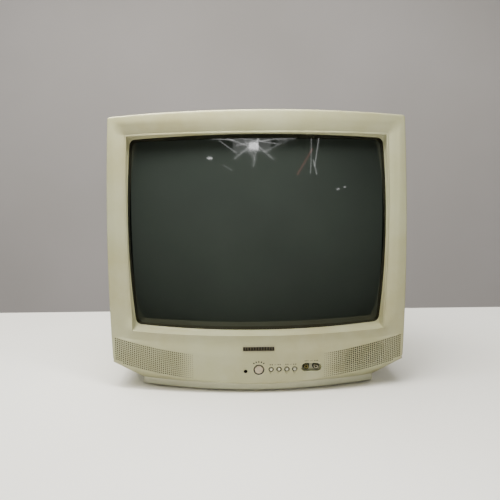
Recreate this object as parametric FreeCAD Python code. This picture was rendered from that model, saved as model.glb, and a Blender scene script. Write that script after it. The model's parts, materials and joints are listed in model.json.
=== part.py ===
import FreeCAD, Part
import math
import os

# Colour television set with a 51 cm picture tube, in millimetres.
# X runs to the viewer's right, Y runs backwards, Z runs up. The origin is the centre of the
# bounding box on the surface that the feet stand on. Most places along Y are given as a depth,
# counted backwards from the front-most line of the curved front.

V = FreeCAD.Vector

# ---- driving dimensions ----------------------------------------------------------------------
DEPTH = 472.0              # whole set, front to back
FACE_Y = -DEPTH / 2        # front-most line of the curved front
FACE_RADIUS = 880.0        # the front is part of an upright cylinder
WALL = 3.2                 # moulded plastic wall
GAP = 0.3                  # between neighbouring pieces

CASE_DEPTH = 96.0          # front cabinet, up to the parting line
TOP_Z = 450.6              # middle of the cambered top
TOP_CORNER = (233.0, 442.5)
SIDE_MIDDLE = (243.0, 150.0)
LOW_CORNER = (241.0, 45.0)
LOW_Z = 15.8               # middle of the curved lower edge
HULL_Z = 13.7              # flat underside behind that edge
HULL_HALF = 240.2
HULL_LEG = 44.0            # rounding between underside and sides

PLINTH_HALF = 194.0
PLINTH_Z = 2.0
PLINTH_RADIUS = 490.0
PLINTH_DEPTH = 12.0        # its front line, behind the front-most line

TUBE_Z = 257.0             # tube axis
SCREEN_DEPTH = 12.0        # apex of the tube face
SCREEN_RADIUS = 850.0
GLASS_THICK = 12.0
PANEL_HALF = (223.0, 175.0)
PANEL_CORNER = 30.0
SEAL_DEPTH = 100.0         # where panel glass and funnel glass are fused
NECK_RADIUS = 14.55
NECK_DEPTH = (302.3, 425.0)
TUBE_END = 433.0

APERTURE_HALF = (207.0, 208.8)      # at the corners, and half way up
APERTURE_LOW = (100.9, 97.2)        # at the corners, and in the middle
APERTURE_HIGH = (412.5, 416.3)
TUNNEL_WALL = 2.6
COVE = (14.0, 1.6)                  # shallow step round the aperture: width, depth

LUG = (221.0, 173.0)                # screw holes of the tube's corner lugs, from the tube axis
LUG_DEPTH = 66.0

POWER_X, CONTROL_Z = 0.0, 40.0
POWER_RADIUS = 7.6
KEY_RADIUS = 3.25
KEYS = ("volume_down_key", "volume_up_key", "channel_down_key", "channel_up_key")
KEY_X = [19.9 + 12.7 * i for i in range(4)]
IR_X, IR_Z = -21.3, 37.5
BADGE_Z = 75.0
BADGE_HALF = (25.5, 3.75)
JACK_X = {"video_jack": 77.2, "audio_jack": 92.9}
JACK_Z = 42.0
JACK_RADIUS = 4.15
JACK_COLLAR = 5.6          # its wider foot, in the hole of the socket panel
JACK_DEPTH = (6.5, 13.9)   # the free barrel
RECESS_X, RECESS_HALF, RECESS_RADIUS = 85.2, 9.0, 7.25

SPEAKER_X, SPEAKER_Z = 168.0, 59.0
SPEAKER_TURN = math.degrees(math.asin(SPEAKER_X / FACE_RADIUS))
SPEAKER_DEPTH = 22.0

COVER_END = 385.0          # lower rear wall of the rear cover
BOARD_HALF = 127.0
BOARD_Z = 34.5
BOARD_DEPTH = (104.0, 372.0)
ANTENNA_X, ANTENNA_Z = -93.0, 50.0
ANTENNA_DEPTH = (376.4, 384.6)
CORD_X, CORD_Z = 105.0, 42.0
COVER_SCREWS = ((-110.0, 440.4), (110.0, 440.4), (-224.0, 62.0), (224.0, 62.0))
FRONT_FEET = ((-150.0, 66.0), (150.0, 66.0))
REAR_FEET = ((-126.0, 340.0), (126.0, 340.0))


# ---- helpers ---------------------------------------------------------------------------------
def back(depth):
    """Y of a place this far behind the front-most line."""
    return FACE_Y + depth


def face_depth(x):
    """Depth of the curved front at this X."""
    return x * x / (2 * FACE_RADIUS)


def box(x, depth, z):
    """Box between two values along each axis."""
    low = V(x[0], back(depth[0]), z[0])
    return Part.makeBox(x[1] - x[0], depth[1] - depth[0], z[1] - z[0], low)


def rod(radius, depth, x, z):
    """Cylinder along Y."""
    return Part.makeCylinder(radius, depth[1] - depth[0], V(x, back(depth[0]), z), V(0, 1, 0))


def ring(outer, inner, depth, x, z):
    return rod(outer, depth, x, z).cut(rod(inner, (depth[0] - 1, depth[1] + 1), x, z))


def post(radius, x, depth, z):
    """Upright cylinder."""
    return Part.makeCylinder(radius, z[1] - z[0], V(x, back(depth), z[0]))


def front_cylinder(inset=0.0):
    """Everything behind the curved front, or behind its copy this much further in."""
    axis = V(0, FACE_Y + FACE_RADIUS, -50)
    return Part.makeCylinder(FACE_RADIUS - inset, 600, axis)


def glass_sphere(radius):
    """Ball on the centre of curvature of the tube face."""
    return Part.makeSphere(radius, V(0, back(SCREEN_DEPTH) + SCREEN_RADIUS, TUBE_Z))


def corner_arc(start, corner, end):
    """Arc that leaves both sides of a corner on their tangents."""
    leg_a = start.sub(corner)
    leg_b = end.sub(corner)
    bisector = V(leg_a).normalize().add(V(leg_b).normalize()).normalize()
    half_angle = leg_a.getAngle(leg_b) / 2
    reach = leg_a.Length * (1 / math.cos(half_angle) - math.tan(half_angle))
    return Part.Arc(start, corner.add(bisector.multiply(reach)), end).toShape()


def loop(depth, corners, middles, legs):
    """Closed wire: cambered sides through their middles, joined by corner arcs."""
    count = len(corners)
    sides = []
    for i in range(count):
        points = (corners[i], middles[i], corners[(i + 1) % count])
        edge = Part.Arc(*[V(x, back(depth), z) for x, z in points]).toShape()
        first = legs[i]
        last = legs[(i + 1) % count]
        spots = (first, (first + edge.Length - last) / 2, edge.Length - last)
        sides.append([edge.valueAt(edge.getParameterByLength(s)) for s in spots])
    edges = []
    for i in range(count):
        x, z = corners[(i + 1) % count]
        edges.append(Part.Arc(*sides[i]).toShape())
        edges.append(corner_arc(sides[i][2], V(x, back(depth), z), sides[(i + 1) % count][0]))
    return Part.Wire(edges)


def prism(wire, length):
    """Solid from a closed wire, pulled backwards."""
    return Part.Face(wire).extrude(V(0, length, 0))


def case_loop(depth, inset=0.0):
    """Front view outline of the cabinet."""
    low_x, low_z = LOW_CORNER[0] - inset, LOW_CORNER[1] + inset
    high_x, high_z = TOP_CORNER[0] - inset, TOP_CORNER[1] - inset
    side_x, side_z = SIDE_MIDDLE[0] - inset, SIDE_MIDDLE[1]
    corners = ((-low_x, low_z), (low_x, low_z), (high_x, high_z), (-high_x, high_z))
    middles = ((0, LOW_Z + inset), (side_x, side_z), (0, TOP_Z - inset), (-side_x, side_z))
    low_leg, high_leg = max(9 - inset, 2), max(6 - inset, 2)
    return loop(depth, corners, middles, (low_leg, low_leg, high_leg, high_leg))


def hull_prism(inset=0.0):
    """Lower part of the case behind the curved edge, flat below and rounded up to the sides."""
    x, low, high = HULL_HALF - inset, HULL_Z + inset, 110.0
    corners = ((-x, low), (x, low), (x, high), (-x, high))
    middles = ((0, low - 0.2), (x + 0.2, 80), (0, high + 0.2), (-x - 0.2, 80))
    leg = HULL_LEG - inset
    block = prism(loop(-20, corners, middles, (leg, leg, 1, 1)), CASE_DEPTH - GAP + 20 + inset)
    axis = V(0, back(PLINTH_DEPTH) + PLINTH_RADIUS, -50)
    return block.common(Part.makeCylinder(PLINTH_RADIUS - 1 - inset, 300, axis))


def aperture_loop(depth, grow=0.0, leg=1.5):
    """Opening round the tube face."""
    corner_x, middle_x = APERTURE_HALF[0] + grow, APERTURE_HALF[1] + grow
    low, low_middle = APERTURE_LOW[0] - grow, APERTURE_LOW[1] - grow
    high, high_middle = APERTURE_HIGH[0] + grow, APERTURE_HIGH[1] + grow
    corners = ((-corner_x, low), (corner_x, low), (corner_x, high), (-corner_x, high))
    middles = ((0, low_middle), (middle_x, TUBE_Z), (0, high_middle), (-middle_x, TUBE_Z))
    return loop(depth, corners, middles, (leg,) * 4)


def tube_loop(depth, half_x, half_z, leg, bow=1.0):
    """Rounded and slightly bowed rectangle round the tube axis."""
    x, z = half_x - bow, half_z - bow
    corners = ((-x, TUBE_Z - z), (x, TUBE_Z - z), (x, TUBE_Z + z), (-x, TUBE_Z + z))
    middles = ((0, TUBE_Z - half_z), (half_x, TUBE_Z), (0, TUBE_Z + half_z), (-half_x, TUBE_Z))
    return loop(depth, corners, middles, (leg,) * 4)


def loft(wires, ruled=False):
    return Part.makeLoft(wires, True, ruled)


def turned(profile):
    """Solid of revolution round the tube axis, from (depth, radius) points."""
    points = [V(r, back(d), TUBE_Z) for d, r in profile]
    face = Part.Face(Part.makePolygon(points + points[:1]))
    return face.revolve(V(0, 0, TUBE_Z), V(0, 1, 0), 360)


def lead(points, radius):
    """Round cable along straight runs joined by large arcs."""
    spots = [V(x, back(d), z) for x, d, z in points]
    edges = []
    start = spots[0]
    for before, spot, after in zip(spots, spots[1:], spots[2:]):
        leg = 0.45 * min(spot.distanceToPoint(before), spot.distanceToPoint(after))
        enter = spot.add(before.sub(spot).normalize().multiply(leg))
        leave = spot.add(after.sub(spot).normalize().multiply(leg))
        edges.append(Part.LineSegment(start, enter).toShape())
        edges.append(corner_arc(enter, spot, leave))
        start = leave
    edges.append(Part.LineSegment(start, spots[-1]).toShape())
    path = Part.Wire(edges)
    direction = spots[1].sub(spots[0])
    section = Part.Wire(Part.makeCircle(radius, spots[0], direction))
    return path.makePipeShell([section], True, True)


def fused(shapes):
    return shapes[0].multiFuse(shapes[1:]).removeSplitter()


# ---- front cabinet ---------------------------------------------------------------------------
def recess_prism(grow, depth):
    """Oval round both audio/video sockets."""
    radius = RECESS_RADIUS + grow
    ends = [rod(radius, depth, RECESS_X + side * RECESS_HALF, JACK_Z) for side in (-1, 1)]
    x = (RECESS_X - RECESS_HALF, RECESS_X + RECESS_HALF)
    return fused([box(x, depth, (JACK_Z - radius, JACK_Z + radius))] + ends)


def plinth_block(inset, z, rear):
    """Plain block under the curved lower edge, convex in front."""
    body = box((-PLINTH_HALF + inset, PLINTH_HALF - inset), (0, rear), z)
    axis = V(0, back(PLINTH_DEPTH) + PLINTH_RADIUS, -50)
    return body.common(Part.makeCylinder(PLINTH_RADIUS - inset, 300, axis))


def front_cabinet():
    length = CASE_DEPTH - GAP + 20
    case = prism(case_loop(-20), length).common(front_cylinder()).fuse(hull_prism())
    cavity = prism(case_loop(-20, WALL), length + 5).common(front_cylinder(WALL))
    cavity = cavity.fuse(hull_prism(WALL))
    tunnel = prism(aperture_loop(-20, TUNNEL_WALL, 3), 100).common(front_cylinder())
    tunnel = tunnel.cut(glass_sphere(SCREEN_RADIUS + 0.4))
    posts = []
    for side in (-1, 1):
        for level in (-1, 1):
            posts.append(rod(6.5, (20, LUG_DEPTH - GAP), side * LUG[0], TUBE_Z + level * LUG[1]))
    for x, z in COVER_SCREWS:
        posts.append(rod(5, (55, CASE_DEPTH - GAP), x, z))
        wall_x = (x - 2, x + 2) if z > TUBE_Z else sorted((x, math.copysign(240, x)))
        wall_z = (z, 447) if z > TUBE_Z else (z - 2, z + 2)
        posts.append(box(wall_x, (55, CASE_DEPTH - GAP), wall_z))
    collars = [rod(POWER_RADIUS + 2.6, (1, 9.5), POWER_X, CONTROL_Z), recess_prism(2, (3, 13.7))]
    body = fused([case.cut(cavity), tunnel] + posts + collars)
    body = body.common(front_cylinder())
    base = plinth_block(0, (PLINTH_Z, 36), CASE_DEPTH - GAP).cut(cavity)
    body = fused([body, base])

    cuts = [prism(aperture_loop(-20), 100)]
    cuts.append(plinth_block(WALL + 1.5, (PLINTH_Z + WALL, HULL_Z + WALL + 0.6), CASE_DEPTH - WALL))
    cove = prism(aperture_loop(-20, COVE[0], 10), 100).cut(front_cylinder(COVE[1]))
    cuts.append(cove)
    cuts.append(rod(POWER_RADIUS + 0.4, (-5, 12), POWER_X, CONTROL_Z))
    cuts.append(rod(3.1, (-5, 8), IR_X, IR_Z))
    cuts.append(recess_prism(0, (-5, 20)))
    cuts.append(box((-BADGE_HALF[0] - 0.1, BADGE_HALF[0] + 0.1), (-5, 1.5),
                    (BADGE_Z - BADGE_HALF[1] - 0.1, BADGE_Z + BADGE_HALF[1] + 0.1)))
    for x in KEY_X:
        cuts.append(rod(KEY_RADIUS + 0.4, (-5, 8), x, CONTROL_Z))
    for side in (-1, 1):
        for level in (-1, 1):
            cuts.append(rod(2.5, (44, 90), side * LUG[0], TUBE_Z + level * LUG[1]))
    for x, z in COVER_SCREWS:
        cuts.append(rod(2.1, (76, 100), x, z))
    return body.cut(cuts)


def badge():
    """Blank plate with fine ribs."""
    plate = box((-BADGE_HALF[0], BADGE_HALF[0]), (0.7, 1.4),
                (BADGE_Z - BADGE_HALF[1], BADGE_Z + BADGE_HALF[1]))
    ribs = []
    for i in range(4):
        z = BADGE_Z - 2.4 + 1.6 * i
        ribs.append(box((-BADGE_HALF[0] + 2, BADGE_HALF[0] - 2), (0.4, 0.8), (z - 0.35, z + 0.35)))
    return fused([plate] + ribs)


def feet():
    front = [post(10, x, depth, (0, PLINTH_Z)) for x, depth in FRONT_FEET]
    rear = [post(10, x, depth, (0, PLINTH_Z)) for x, depth in REAR_FEET]
    return Part.makeCompound(front + rear)


# ---- controls on the front -------------------------------------------------------------------
def power_button():
    """Round cap with a retaining flange and a square stem."""
    cap = rod(POWER_RADIUS, (0.8, 10.5), POWER_X, CONTROL_Z)
    cap = cap.makeFillet(0.8, [cap.Edges[i] for i in range(len(cap.Edges))
                               if abs(cap.Edges[i].BoundBox.YMax - back(0.8)) < 0.01])
    flange = rod(POWER_RADIUS + 1.8, (10, 11.5), POWER_X, CONTROL_Z)
    stem = box((-2, 2), (11, 30), (CONTROL_Z - 2, CONTROL_Z + 2))
    return fused([cap, flange, stem])


def power_switch():
    body = box((-8, 8), (18.6, 42), (CONTROL_Z - 8, CONTROL_Z + 8))
    pocket = box((-2.5, 2.5), (18, 34.5), (CONTROL_Z - 2.5, CONTROL_Z + 2.5))
    pins = []
    for x in (-5, 5):
        for depth in (24, 36):
            pins.append(box((x - 0.5, x + 0.5), (depth, depth + 1), (CONTROL_Z - 12, CONTROL_Z - 7)))
    return fused([body.cut(pocket)] + pins)


def key(x):
    """Small round key with a flange behind the wall."""
    front = face_depth(x) + 0.9
    body = rod(KEY_RADIUS, (front, 9.5), x, CONTROL_Z)
    return fused([body, rod(KEY_RADIUS + 1.2, (9, 10), x, CONTROL_Z)])


def tact_switches():
    solids = []
    for x in KEY_X:
        body = box((x - 3, x + 3), (12.4, 16.4), (CONTROL_Z - 3, CONTROL_Z + 3))
        solids.append(fused([body, rod(1.7, (11.4, 13), x, CONTROL_Z)]))
    return Part.makeCompound(solids)


def control_board():
    board = box((-32, 66), (16.6, 18.2), (26, 55))
    return board.cut(rod(6, (16, 19), POWER_X, CONTROL_Z))


def ir_window():
    return rod(3.0, (0.5, 5.5), IR_X, IR_Z)


def ir_receiver():
    body = box((IR_X - 4, IR_X + 4), (9.4, 14), (IR_Z - 4, IR_Z + 4))
    legs = [box((IR_X + x - 0.3, IR_X + x + 0.3), (14, 16.4), (IR_Z - 3, IR_Z - 2.4))
            for x in (-2.54, 0, 2.54)]
    return fused([body] + legs)


def standby_lamp():
    dome = Part.makeSphere(1.5, V(IR_X, back(7.6), IR_Z))
    return fused([rod(1.5, (7.6, 8.8), IR_X, IR_Z), dome])


def jack_panel():
    plate = box((66.5, 104), (14, 16), (32, 52))
    holes = [rod(JACK_COLLAR + GAP, (13, 17), x, JACK_Z) for x in JACK_X.values()]
    return plate.cut(holes)


def jack(x):
    """Phono socket: a hollow barrel on a moulded body."""
    barrel = rod(JACK_RADIUS, (JACK_DEPTH[0], 18), x, JACK_Z)
    collar = rod(JACK_COLLAR, (JACK_DEPTH[1], 18), x, JACK_Z)
    body = box((x - 5.5, x + 5.5), (16.3, 30), (JACK_Z - 6, JACK_Z + 6))
    pins = [box((x + side * 3 - 0.5, x + side * 3 + 0.5), (26, 27), (JACK_Z - 11, JACK_Z - 5))
            for side in (-1, 1)]
    return fused([barrel, collar, body] + pins).cut(rod(1.7, (6, 24), x, JACK_Z))


# ---- loudspeaker -----------------------------------------------------------------------------
def oval(half_x, half_z, y):
    """Oval wire round the Y axis."""
    ellipse = Part.Ellipse(V(0, y, 0), half_x, half_z)
    turn = FreeCAD.Rotation(V(1, 0, 0), 90)
    wire = Part.Wire(ellipse.toShape())
    wire.Placement = FreeCAD.Placement(V(0, y, 0), turn, V(0, 0, 0)).multiply(
        FreeCAD.Placement(V(0, -y, 0), FreeCAD.Rotation()))
    return wire


def on_speaker(shape):
    """Turn a shape made round the origin to lie behind the right-hand grille."""
    shape.rotate(V(0, 0, 0), V(0, 0, 1), SPEAKER_TURN)
    shape.translate(V(SPEAKER_X, back(SPEAKER_DEPTH), SPEAKER_Z))
    return shape


SPEAKER_SCREWS = [(x, z) for x in (-27, 27) for z in (-14.5, 14.5)]


def speaker_frame():
    plate = Part.makeBox(61, 2, 36, V(-30.5, 0, -18))
    basket = loft([oval(28, 16.5, 1.5), oval(16, 15, 17)], True)
    inside = loft([oval(26.6, 15.1, -0.1), oval(26.6, 15.1, 1.5), oval(14.6, 13.6, 16)], True)
    holes = [Part.makeCylinder(1.6, 4, V(x, -1, z), V(0, 1, 0)) for x, z in SPEAKER_SCREWS]
    return on_speaker(fused([plate, basket]).cut([inside] + holes))


def speaker_cone():
    outer = loft([oval(26, 14.5, 1.2), oval(7, 7, 13)], True)
    inner = loft([oval(25.4, 13.9, 1.1), oval(6.4, 6.4, 12.9)], True)
    cap = Part.makeSphere(9, V(0, 17, 0)).common(Part.makeCylinder(6, 6, V(0, 6.5, 0), V(0, 1, 0)))
    return on_speaker(fused([outer.cut(inner), cap.cut(outer.common(inner)).fuse(
        cap.common(inner))]))


def speaker_magnet():
    plate = Part.makeCylinder(14.5, 1.5, V(0, 17.2, 0), V(0, 1, 0))
    magnet = Part.makeCylinder(17, 8, V(0, 18.7, 0), V(0, 1, 0))
    yoke = Part.makeCylinder(15, 2, V(0, 26.7, 0), V(0, 1, 0))
    return on_speaker(fused([plate, magnet, yoke]))


def speaker_screws():
    screws = []
    for x, z in SPEAKER_SCREWS:
        shank = Part.makeCylinder(1.3, 3.2, V(x, -0.8, z), V(0, 1, 0))
        screws.append(shank.fuse(Part.makeCylinder(2.4, 1.6, V(x, 2.1, z), V(0, 1, 0))))
    return on_speaker(Part.makeCompound(screws))


# ---- picture tube ----------------------------------------------------------------------------
FUNNEL = (                # depth, half width, half height, corner leg, wall
    (SEAL_DEPTH + GAP, 220.0, 172.0, 32.0, 9.0),
    (140.0, 190.0, 147.0, 52.0, 6.5),
    (190.0, 140.0, 107.0, 60.0, 5.0),
    (232.0, 84.0, 68.0, 52.0, 4.0),
    (262.0, 44.0, 40.0, 36.0, 3.0),
    (NECK_DEPTH[0] - GAP, 14.8, 14.8, 14.5, 1.5),
)


def panel_glass():
    """Face and skirt of the tube, open at the back."""
    half_x, half_z = PANEL_HALF
    block = prism(tube_loop(0, half_x, half_z, PANEL_CORNER, 2), SEAL_DEPTH)
    hollow = prism(tube_loop(20, half_x - 12, half_z - 12, PANEL_CORNER - 10, 2), SEAL_DEPTH)
    inside = hollow.common(glass_sphere(SCREEN_RADIUS - GLASS_THICK))
    return block.common(glass_sphere(SCREEN_RADIUS)).cut(inside)


def funnel_solid():
    return loft([tube_loop(d, x, z, leg, 0.15 + 0.01 * x) for d, x, z, leg, wall in FUNNEL])


def funnel_glass():
    inside = []
    for depth, x, z, leg, wall in FUNNEL:
        inside.append(tube_loop(depth, x - wall, z - wall, max(leg - wall, 1) * 0.99,
                                0.1 + 0.008 * x))
    return funnel_solid().cut(loft(inside))


def neck_glass():
    start, end = NECK_DEPTH
    return rod(NECK_RADIUS, (start, end), 0, TUBE_Z).cut(rod(NECK_RADIUS - 1.5, (start - 1, end - 3),
                                                             0, TUBE_Z))


def spherical_sheet(half_x, half_z, radius, thick):
    """Thin curved sheet parallel to the tube face."""
    block = prism(tube_loop(10, half_x, half_z, 10, 2), 90)
    return block.common(glass_sphere(radius)).cut(glass_sphere(radius - thick))


def phosphor_screen():
    return spherical_sheet(205, 154.5, SCREEN_RADIUS - GLASS_THICK - 0.05, 0.4)


def shadow_mask():
    return spherical_sheet(195, 148, SCREEN_RADIUS - GLASS_THICK - 16, 0.4)


def mask_frame():
    outer = prism(tube_loop(64, 204, 157, 20, 2), 22)
    return outer.cut(prism(tube_loop(63, 196, 149, 10, 2), 24))


def magnetic_shield():
    """Thin steel hood behind the mask, inside the funnel."""
    sizes = ((102, 198, 151, 30), (140, 168, 126, 45), (186, 122, 90, 50))
    outer = loft([tube_loop(d, x, z, leg, 1.5) for d, x, z, leg in sizes], True)
    inner = loft([tube_loop(d, x - 0.7, z - 0.7, leg, 1.5) for d, x, z, leg in sizes], True)
    return outer.cut(inner)


def tension_band():
    """Steel strap shrunk round the skirt, with a screw lug at each corner."""
    half_x, half_z = PANEL_HALF
    strap = prism(tube_loop(58, half_x + 1.6, half_z + 1.6, PANEL_CORNER + 1, 2), 26)
    glass = prism(tube_loop(50, half_x + 0.05, half_z + 0.05, PANEL_CORNER, 2), 40)
    lugs = []
    for side in (-1, 1):
        for level in (-1, 1):
            lug = Part.makeBox(13, 2, 34, V(-6.5, 0, 0))
            lug.rotate(V(0, 0, 0), V(0, 1, 0), side * (45 if level > 0 else 135))
            lug.translate(V(side * (LUG[0] - 19.4), back(LUG_DEPTH), TUBE_Z + level * (LUG[1] - 19.4)))
            lugs.append(lug)
    band = fused([strap] + lugs).cut(glass)
    for side in (-1, 1):
        for level in (-1, 1):
            band = band.cut(rod(3.2, (60, 75), side * LUG[0], TUBE_Z + level * LUG[1]))
    return band


def tube_screws():
    screws = []
    for side in (-1, 1):
        for level in (-1, 1):
            x, z = side * LUG[0], TUBE_Z + level * LUG[1]
            shank = rod(2.3, (46, 70), x, z)
            head = rod(5.6, (LUG_DEPTH + 2.1, LUG_DEPTH + 3.4), x, z)
            hexagon = Part.makePolygon([V(x + 4 * math.cos(math.radians(60 * i)), back(LUG_DEPTH + 3),
                                          z + 4 * math.sin(math.radians(60 * i))) for i in range(7)])
            screws.append(fused([shank, head, prism(hexagon, 4)]))
    return Part.makeCompound(screws)


def electron_gun():
    """Cathode cup and grids on the tube axis, held between two glass beads."""
    grids = ((396, 412, 7.5), (391, 393, 9.0), (372, 388, 8.0), (352, 369, 8.0), (334, 349, 9.5))
    parts = [rod(radius, (start, end), 0, TUBE_Z) for start, end, radius in grids]
    beads = [box((side * 9.6 - 1.2, side * 9.6 + 1.2), (332, 416), (TUBE_Z - 3, TUBE_Z + 3))
             for side in (-1, 1)]
    core = rod(2.5, (334, 421.8), 0, TUBE_Z)
    return fused(parts + beads + [core]).common(rod(12.2, (300, 422), 0, TUBE_Z))


def tube_base():
    start = NECK_DEPTH[1] + GAP
    pins = []
    for i in range(9):
        angle = math.radians(36 * i)
        pins.append(rod(0.6, (TUBE_END - 1, TUBE_END + 7), 7.6 * math.cos(angle),
                        TUBE_Z + 7.6 * math.sin(angle)))
    return fused([rod(12.8, (start, TUBE_END), 0, TUBE_Z)] + pins)


def crt_socket():
    return ring(20, 13.2, (427, 441), 0, TUBE_Z)


def neck_board():
    """Small board on the socket, with its video output transistors."""
    board = box((-45, 45), (441.3, 442.9), (TUBE_Z - 42, TUBE_Z + 34)).cut(
        rod(10, (440, 444), 0, TUBE_Z))
    parts = []
    for x in (-24, 0, 24):
        parts.append(box((x - 5, x + 5), (442.5, 453), (TUBE_Z - 34, TUBE_Z - 31)))
        parts.append(box((x - 8, x + 8), (442.5, 456), (TUBE_Z - 36, TUBE_Z - 34)))
    for x in (-36, 36):
        parts.append(rod(4, (442.5, 454), x, TUBE_Z + 22))
    return fused([board] + parts)


# ---- deflection yoke -------------------------------------------------------------------------
YOKE = ((240.0, 80.0), (254.0, 62.0), (270.0, 44.0), (286.0, 31.0), (302.0, 20.0))


def yoke_layer(inner, outer, start=240.0, end=302.0):
    """Flared sleeve between two distances outside the funnel."""
    def radius(depth):
        for (d0, r0), (d1, r1) in zip(YOKE, YOKE[1:]):
            if d0 <= depth <= d1:
                return r0 + (r1 - r0) * (depth - d0) / (d1 - d0)
        return YOKE[-1][1]
    depths = [start] + [d for d, r in YOKE if start < d < end] + [end]
    inside = [(d, radius(d) + inner) for d in depths]
    outside = [(d, radius(d) + outer) for d in reversed(depths)]
    return turned(inside + outside)


def horizontal_coils():
    """Upper and lower saddle coils next to the glass."""
    slit = box((-120, 120), (230, 320), (TUBE_Z - 1.5, TUBE_Z + 1.5))
    return yoke_layer(0.3, 4.0, 241).cut(slit)


def yoke_former():
    flange = ring(92, 84.5, (236, 240), 0, TUBE_Z)
    lip = ring(86, 84.4, (236, 244), 0, TUBE_Z)
    collar = ring(18.2, 14.9, (304, 324), 0, TUBE_Z)
    web = ring(26.5, 14.9, (302, 305), 0, TUBE_Z)
    return fused([yoke_layer(4.3, 6.3, 240, 302.5), flange, lip, collar, web])


def vertical_coils():
    """Left and right coils between former and core."""
    slit = box((-1.5, 1.5), (230, 320), (TUBE_Z - 120, TUBE_Z + 120))
    return yoke_layer(6.6, 10.2, 245, 298).cut(slit)


def ferrite_core():
    return yoke_layer(10.5, 17.0, 252, 288)


def yoke_clamp():
    band = ring(20.2, 18.5, (310, 318), 0, TUBE_Z)
    ears = [box((x, x + 1.6), (310, 318), (TUBE_Z + 19, TUBE_Z + 28)) for x in (-3.6, 2.0)]
    slit = box((-2, 2), (309, 319), (TUBE_Z + 15, TUBE_Z + 30))
    screw = Part.makeCylinder(1.5, 14, V(-7, back(314), TUBE_Z + 24), V(1, 0, 0))
    return fused([fused([band] + ears).cut(slit), screw])


def yoke_wedges():
    """Three rubber wedges that hold the front of the yoke off the funnel."""
    funnel = funnel_solid()
    solids = []
    for angle in (90, 210, 330):
        wedge = Part.makeBox(14, 13, 26, V(-7, back(222), 66))
        wedge.rotate(V(0, 0, 0), V(0, 1, 0), angle - 90)
        wedge.translate(V(0, 0, TUBE_Z))
        solids.append(wedge.cut(funnel))
    return Part.makeCompound(solids)


def convergence_rings():
    """Three pairs of ring magnets with finger tabs."""
    solids = []
    for i in range(6):
        start = 328 + 2.4 * i
        disc = ring(23, NECK_RADIUS + 0.2, (start, start + 1.6), 0, TUBE_Z)
        tab = box((-2, 2), (start, start + 1.6), (TUBE_Z + 21, TUBE_Z + 31))
        whole = fused([disc, tab])
        whole.rotate(V(0, 0, TUBE_Z), V(0, 1, 0), 25 * i - 60)
        solids.append(whole)
    return Part.makeCompound(solids)


def degaussing_coil():
    """Taped winding round the funnel: four straight sides and four quarter turns."""
    half_x, half_z, corner, radius, y = 209.0, 165.0, 60.0, 4.2, back(125)
    x, z = half_x - corner, half_z - corner
    pieces = []
    for side in (-1, 1):
        pieces.append(Part.makeCylinder(radius, 2 * x, V(-x, y, TUBE_Z + side * half_z), V(1, 0, 0)))
        pieces.append(Part.makeCylinder(radius, 2 * z, V(side * half_x, y, TUBE_Z - z)))
        for level in (-1, 1):
            centre = V(side * x, y, TUBE_Z + level * z)
            section = Part.Face(Part.Wire(Part.makeCircle(
                radius, centre.add(V(side * corner, 0, 0)), V(0, 0, 1))))
            pieces.append(section.revolve(centre, V(0, -side * level, 0), 90))
    return fused(pieces)


ANODE = (166.0, 166.0)     # X and depth of the anode contact on the funnel's right side


def anode_cap():
    """Rubber cup on the funnel, square to the glass."""
    cup = Part.makeCone(18, 9, 11)
    cup = cup.fuse(Part.makeCylinder(6, 15))
    cup.rotate(V(0, 0, 0), V(0, 1, 0), 90)
    cup.rotate(V(0, 0, 0), V(0, 0, 1), 45)
    cup.translate(V(ANODE[0] - 3.5, back(ANODE[1] - 3.5), TUBE_Z))
    return cup.cut(funnel_solid()).removeSplitter()


def anode_lead():
    """High-voltage lead from the flyback transformer to the anode cap."""
    route = ((173.5, 173.5, TUBE_Z), (186.0, 186.0, TUBE_Z), (188.0, 203.0, 232.0),
             (172.0, 222.0, 196.0), (146.0, 250.0, 160.0), (112.0, 286.0, 138.0),
             (84.0, 316.0, 128.0), (84.0, 316.0, 108.1))
    return lead(route, 2.2)


# ---- chassis ---------------------------------------------------------------------------------
ON_BOARD = BOARD_Z + 1.8


def main_board():
    board = box((-BOARD_HALF, BOARD_HALF), BOARD_DEPTH, (BOARD_Z, BOARD_Z + 1.6))
    holes = [post(2, x, d, (BOARD_Z - 1, BOARD_Z + 3)) for x in (-118, 118) for d in (114, 362)]
    return board.cut(holes)


def chassis_rails():
    rails = []
    for side in (-1, 1):
        x = sorted((side * (BOARD_HALF - 4), side * (BOARD_HALF + 7)))
        rail = box(x, (80, BOARD_DEPTH[1] + 2), (31.0, 40.5))
        groove = box(sorted((0, side * (BOARD_HALF + 0.3))), (70, 400), (BOARD_Z - 0.3, 50))
        rails.append(rail.cut(groove))
    return Part.makeCompound(rails)


def flyback_transformer():
    body = box((60, 108), (290, 338), (ON_BOARD, 104))
    upright = [e for e in body.Edges if e.BoundBox.ZLength > 1]
    body = body.makeFillet(3, upright)
    pots = box((66, 102), (337, 350), (ON_BOARD + 6, 98))
    tower = post(7, 84, 316, (103, 108))
    core = box((104, 120), (300, 328), (ON_BOARD + 12, 92))
    bores = [rod(2.05, (340, 352), 84, z) for z in (56, 82)]
    return fused([body, pots, tower, core]).cut(bores)


def flyback_knob(z):
    """Screwdriver-slotted knob on a stub shaft."""
    shaft = rod(2.0, (340.5, 351), 84, z)
    head = rod(6, (350.4, 357), 84, z)
    slot = box((78, 90), (355.2, 358), (z - 0.6, z + 0.6))
    grip = [rod(1.0, (350, 358), 84 + 6.2 * math.cos(math.radians(30 * i)),
                z + 6.2 * math.sin(math.radians(30 * i))) for i in range(12)]
    return fused([shaft, head]).cut([slot] + grip)


def heatsink():
    plate = box((-64, 4), (250, 253), (ON_BOARD, 92))
    fins = [box((-64 + 9.4 * i, -62 + 9.4 * i), (252, 272), (ON_BOARD, 92)) for i in range(8)]
    return fused([plate] + fins)


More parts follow.
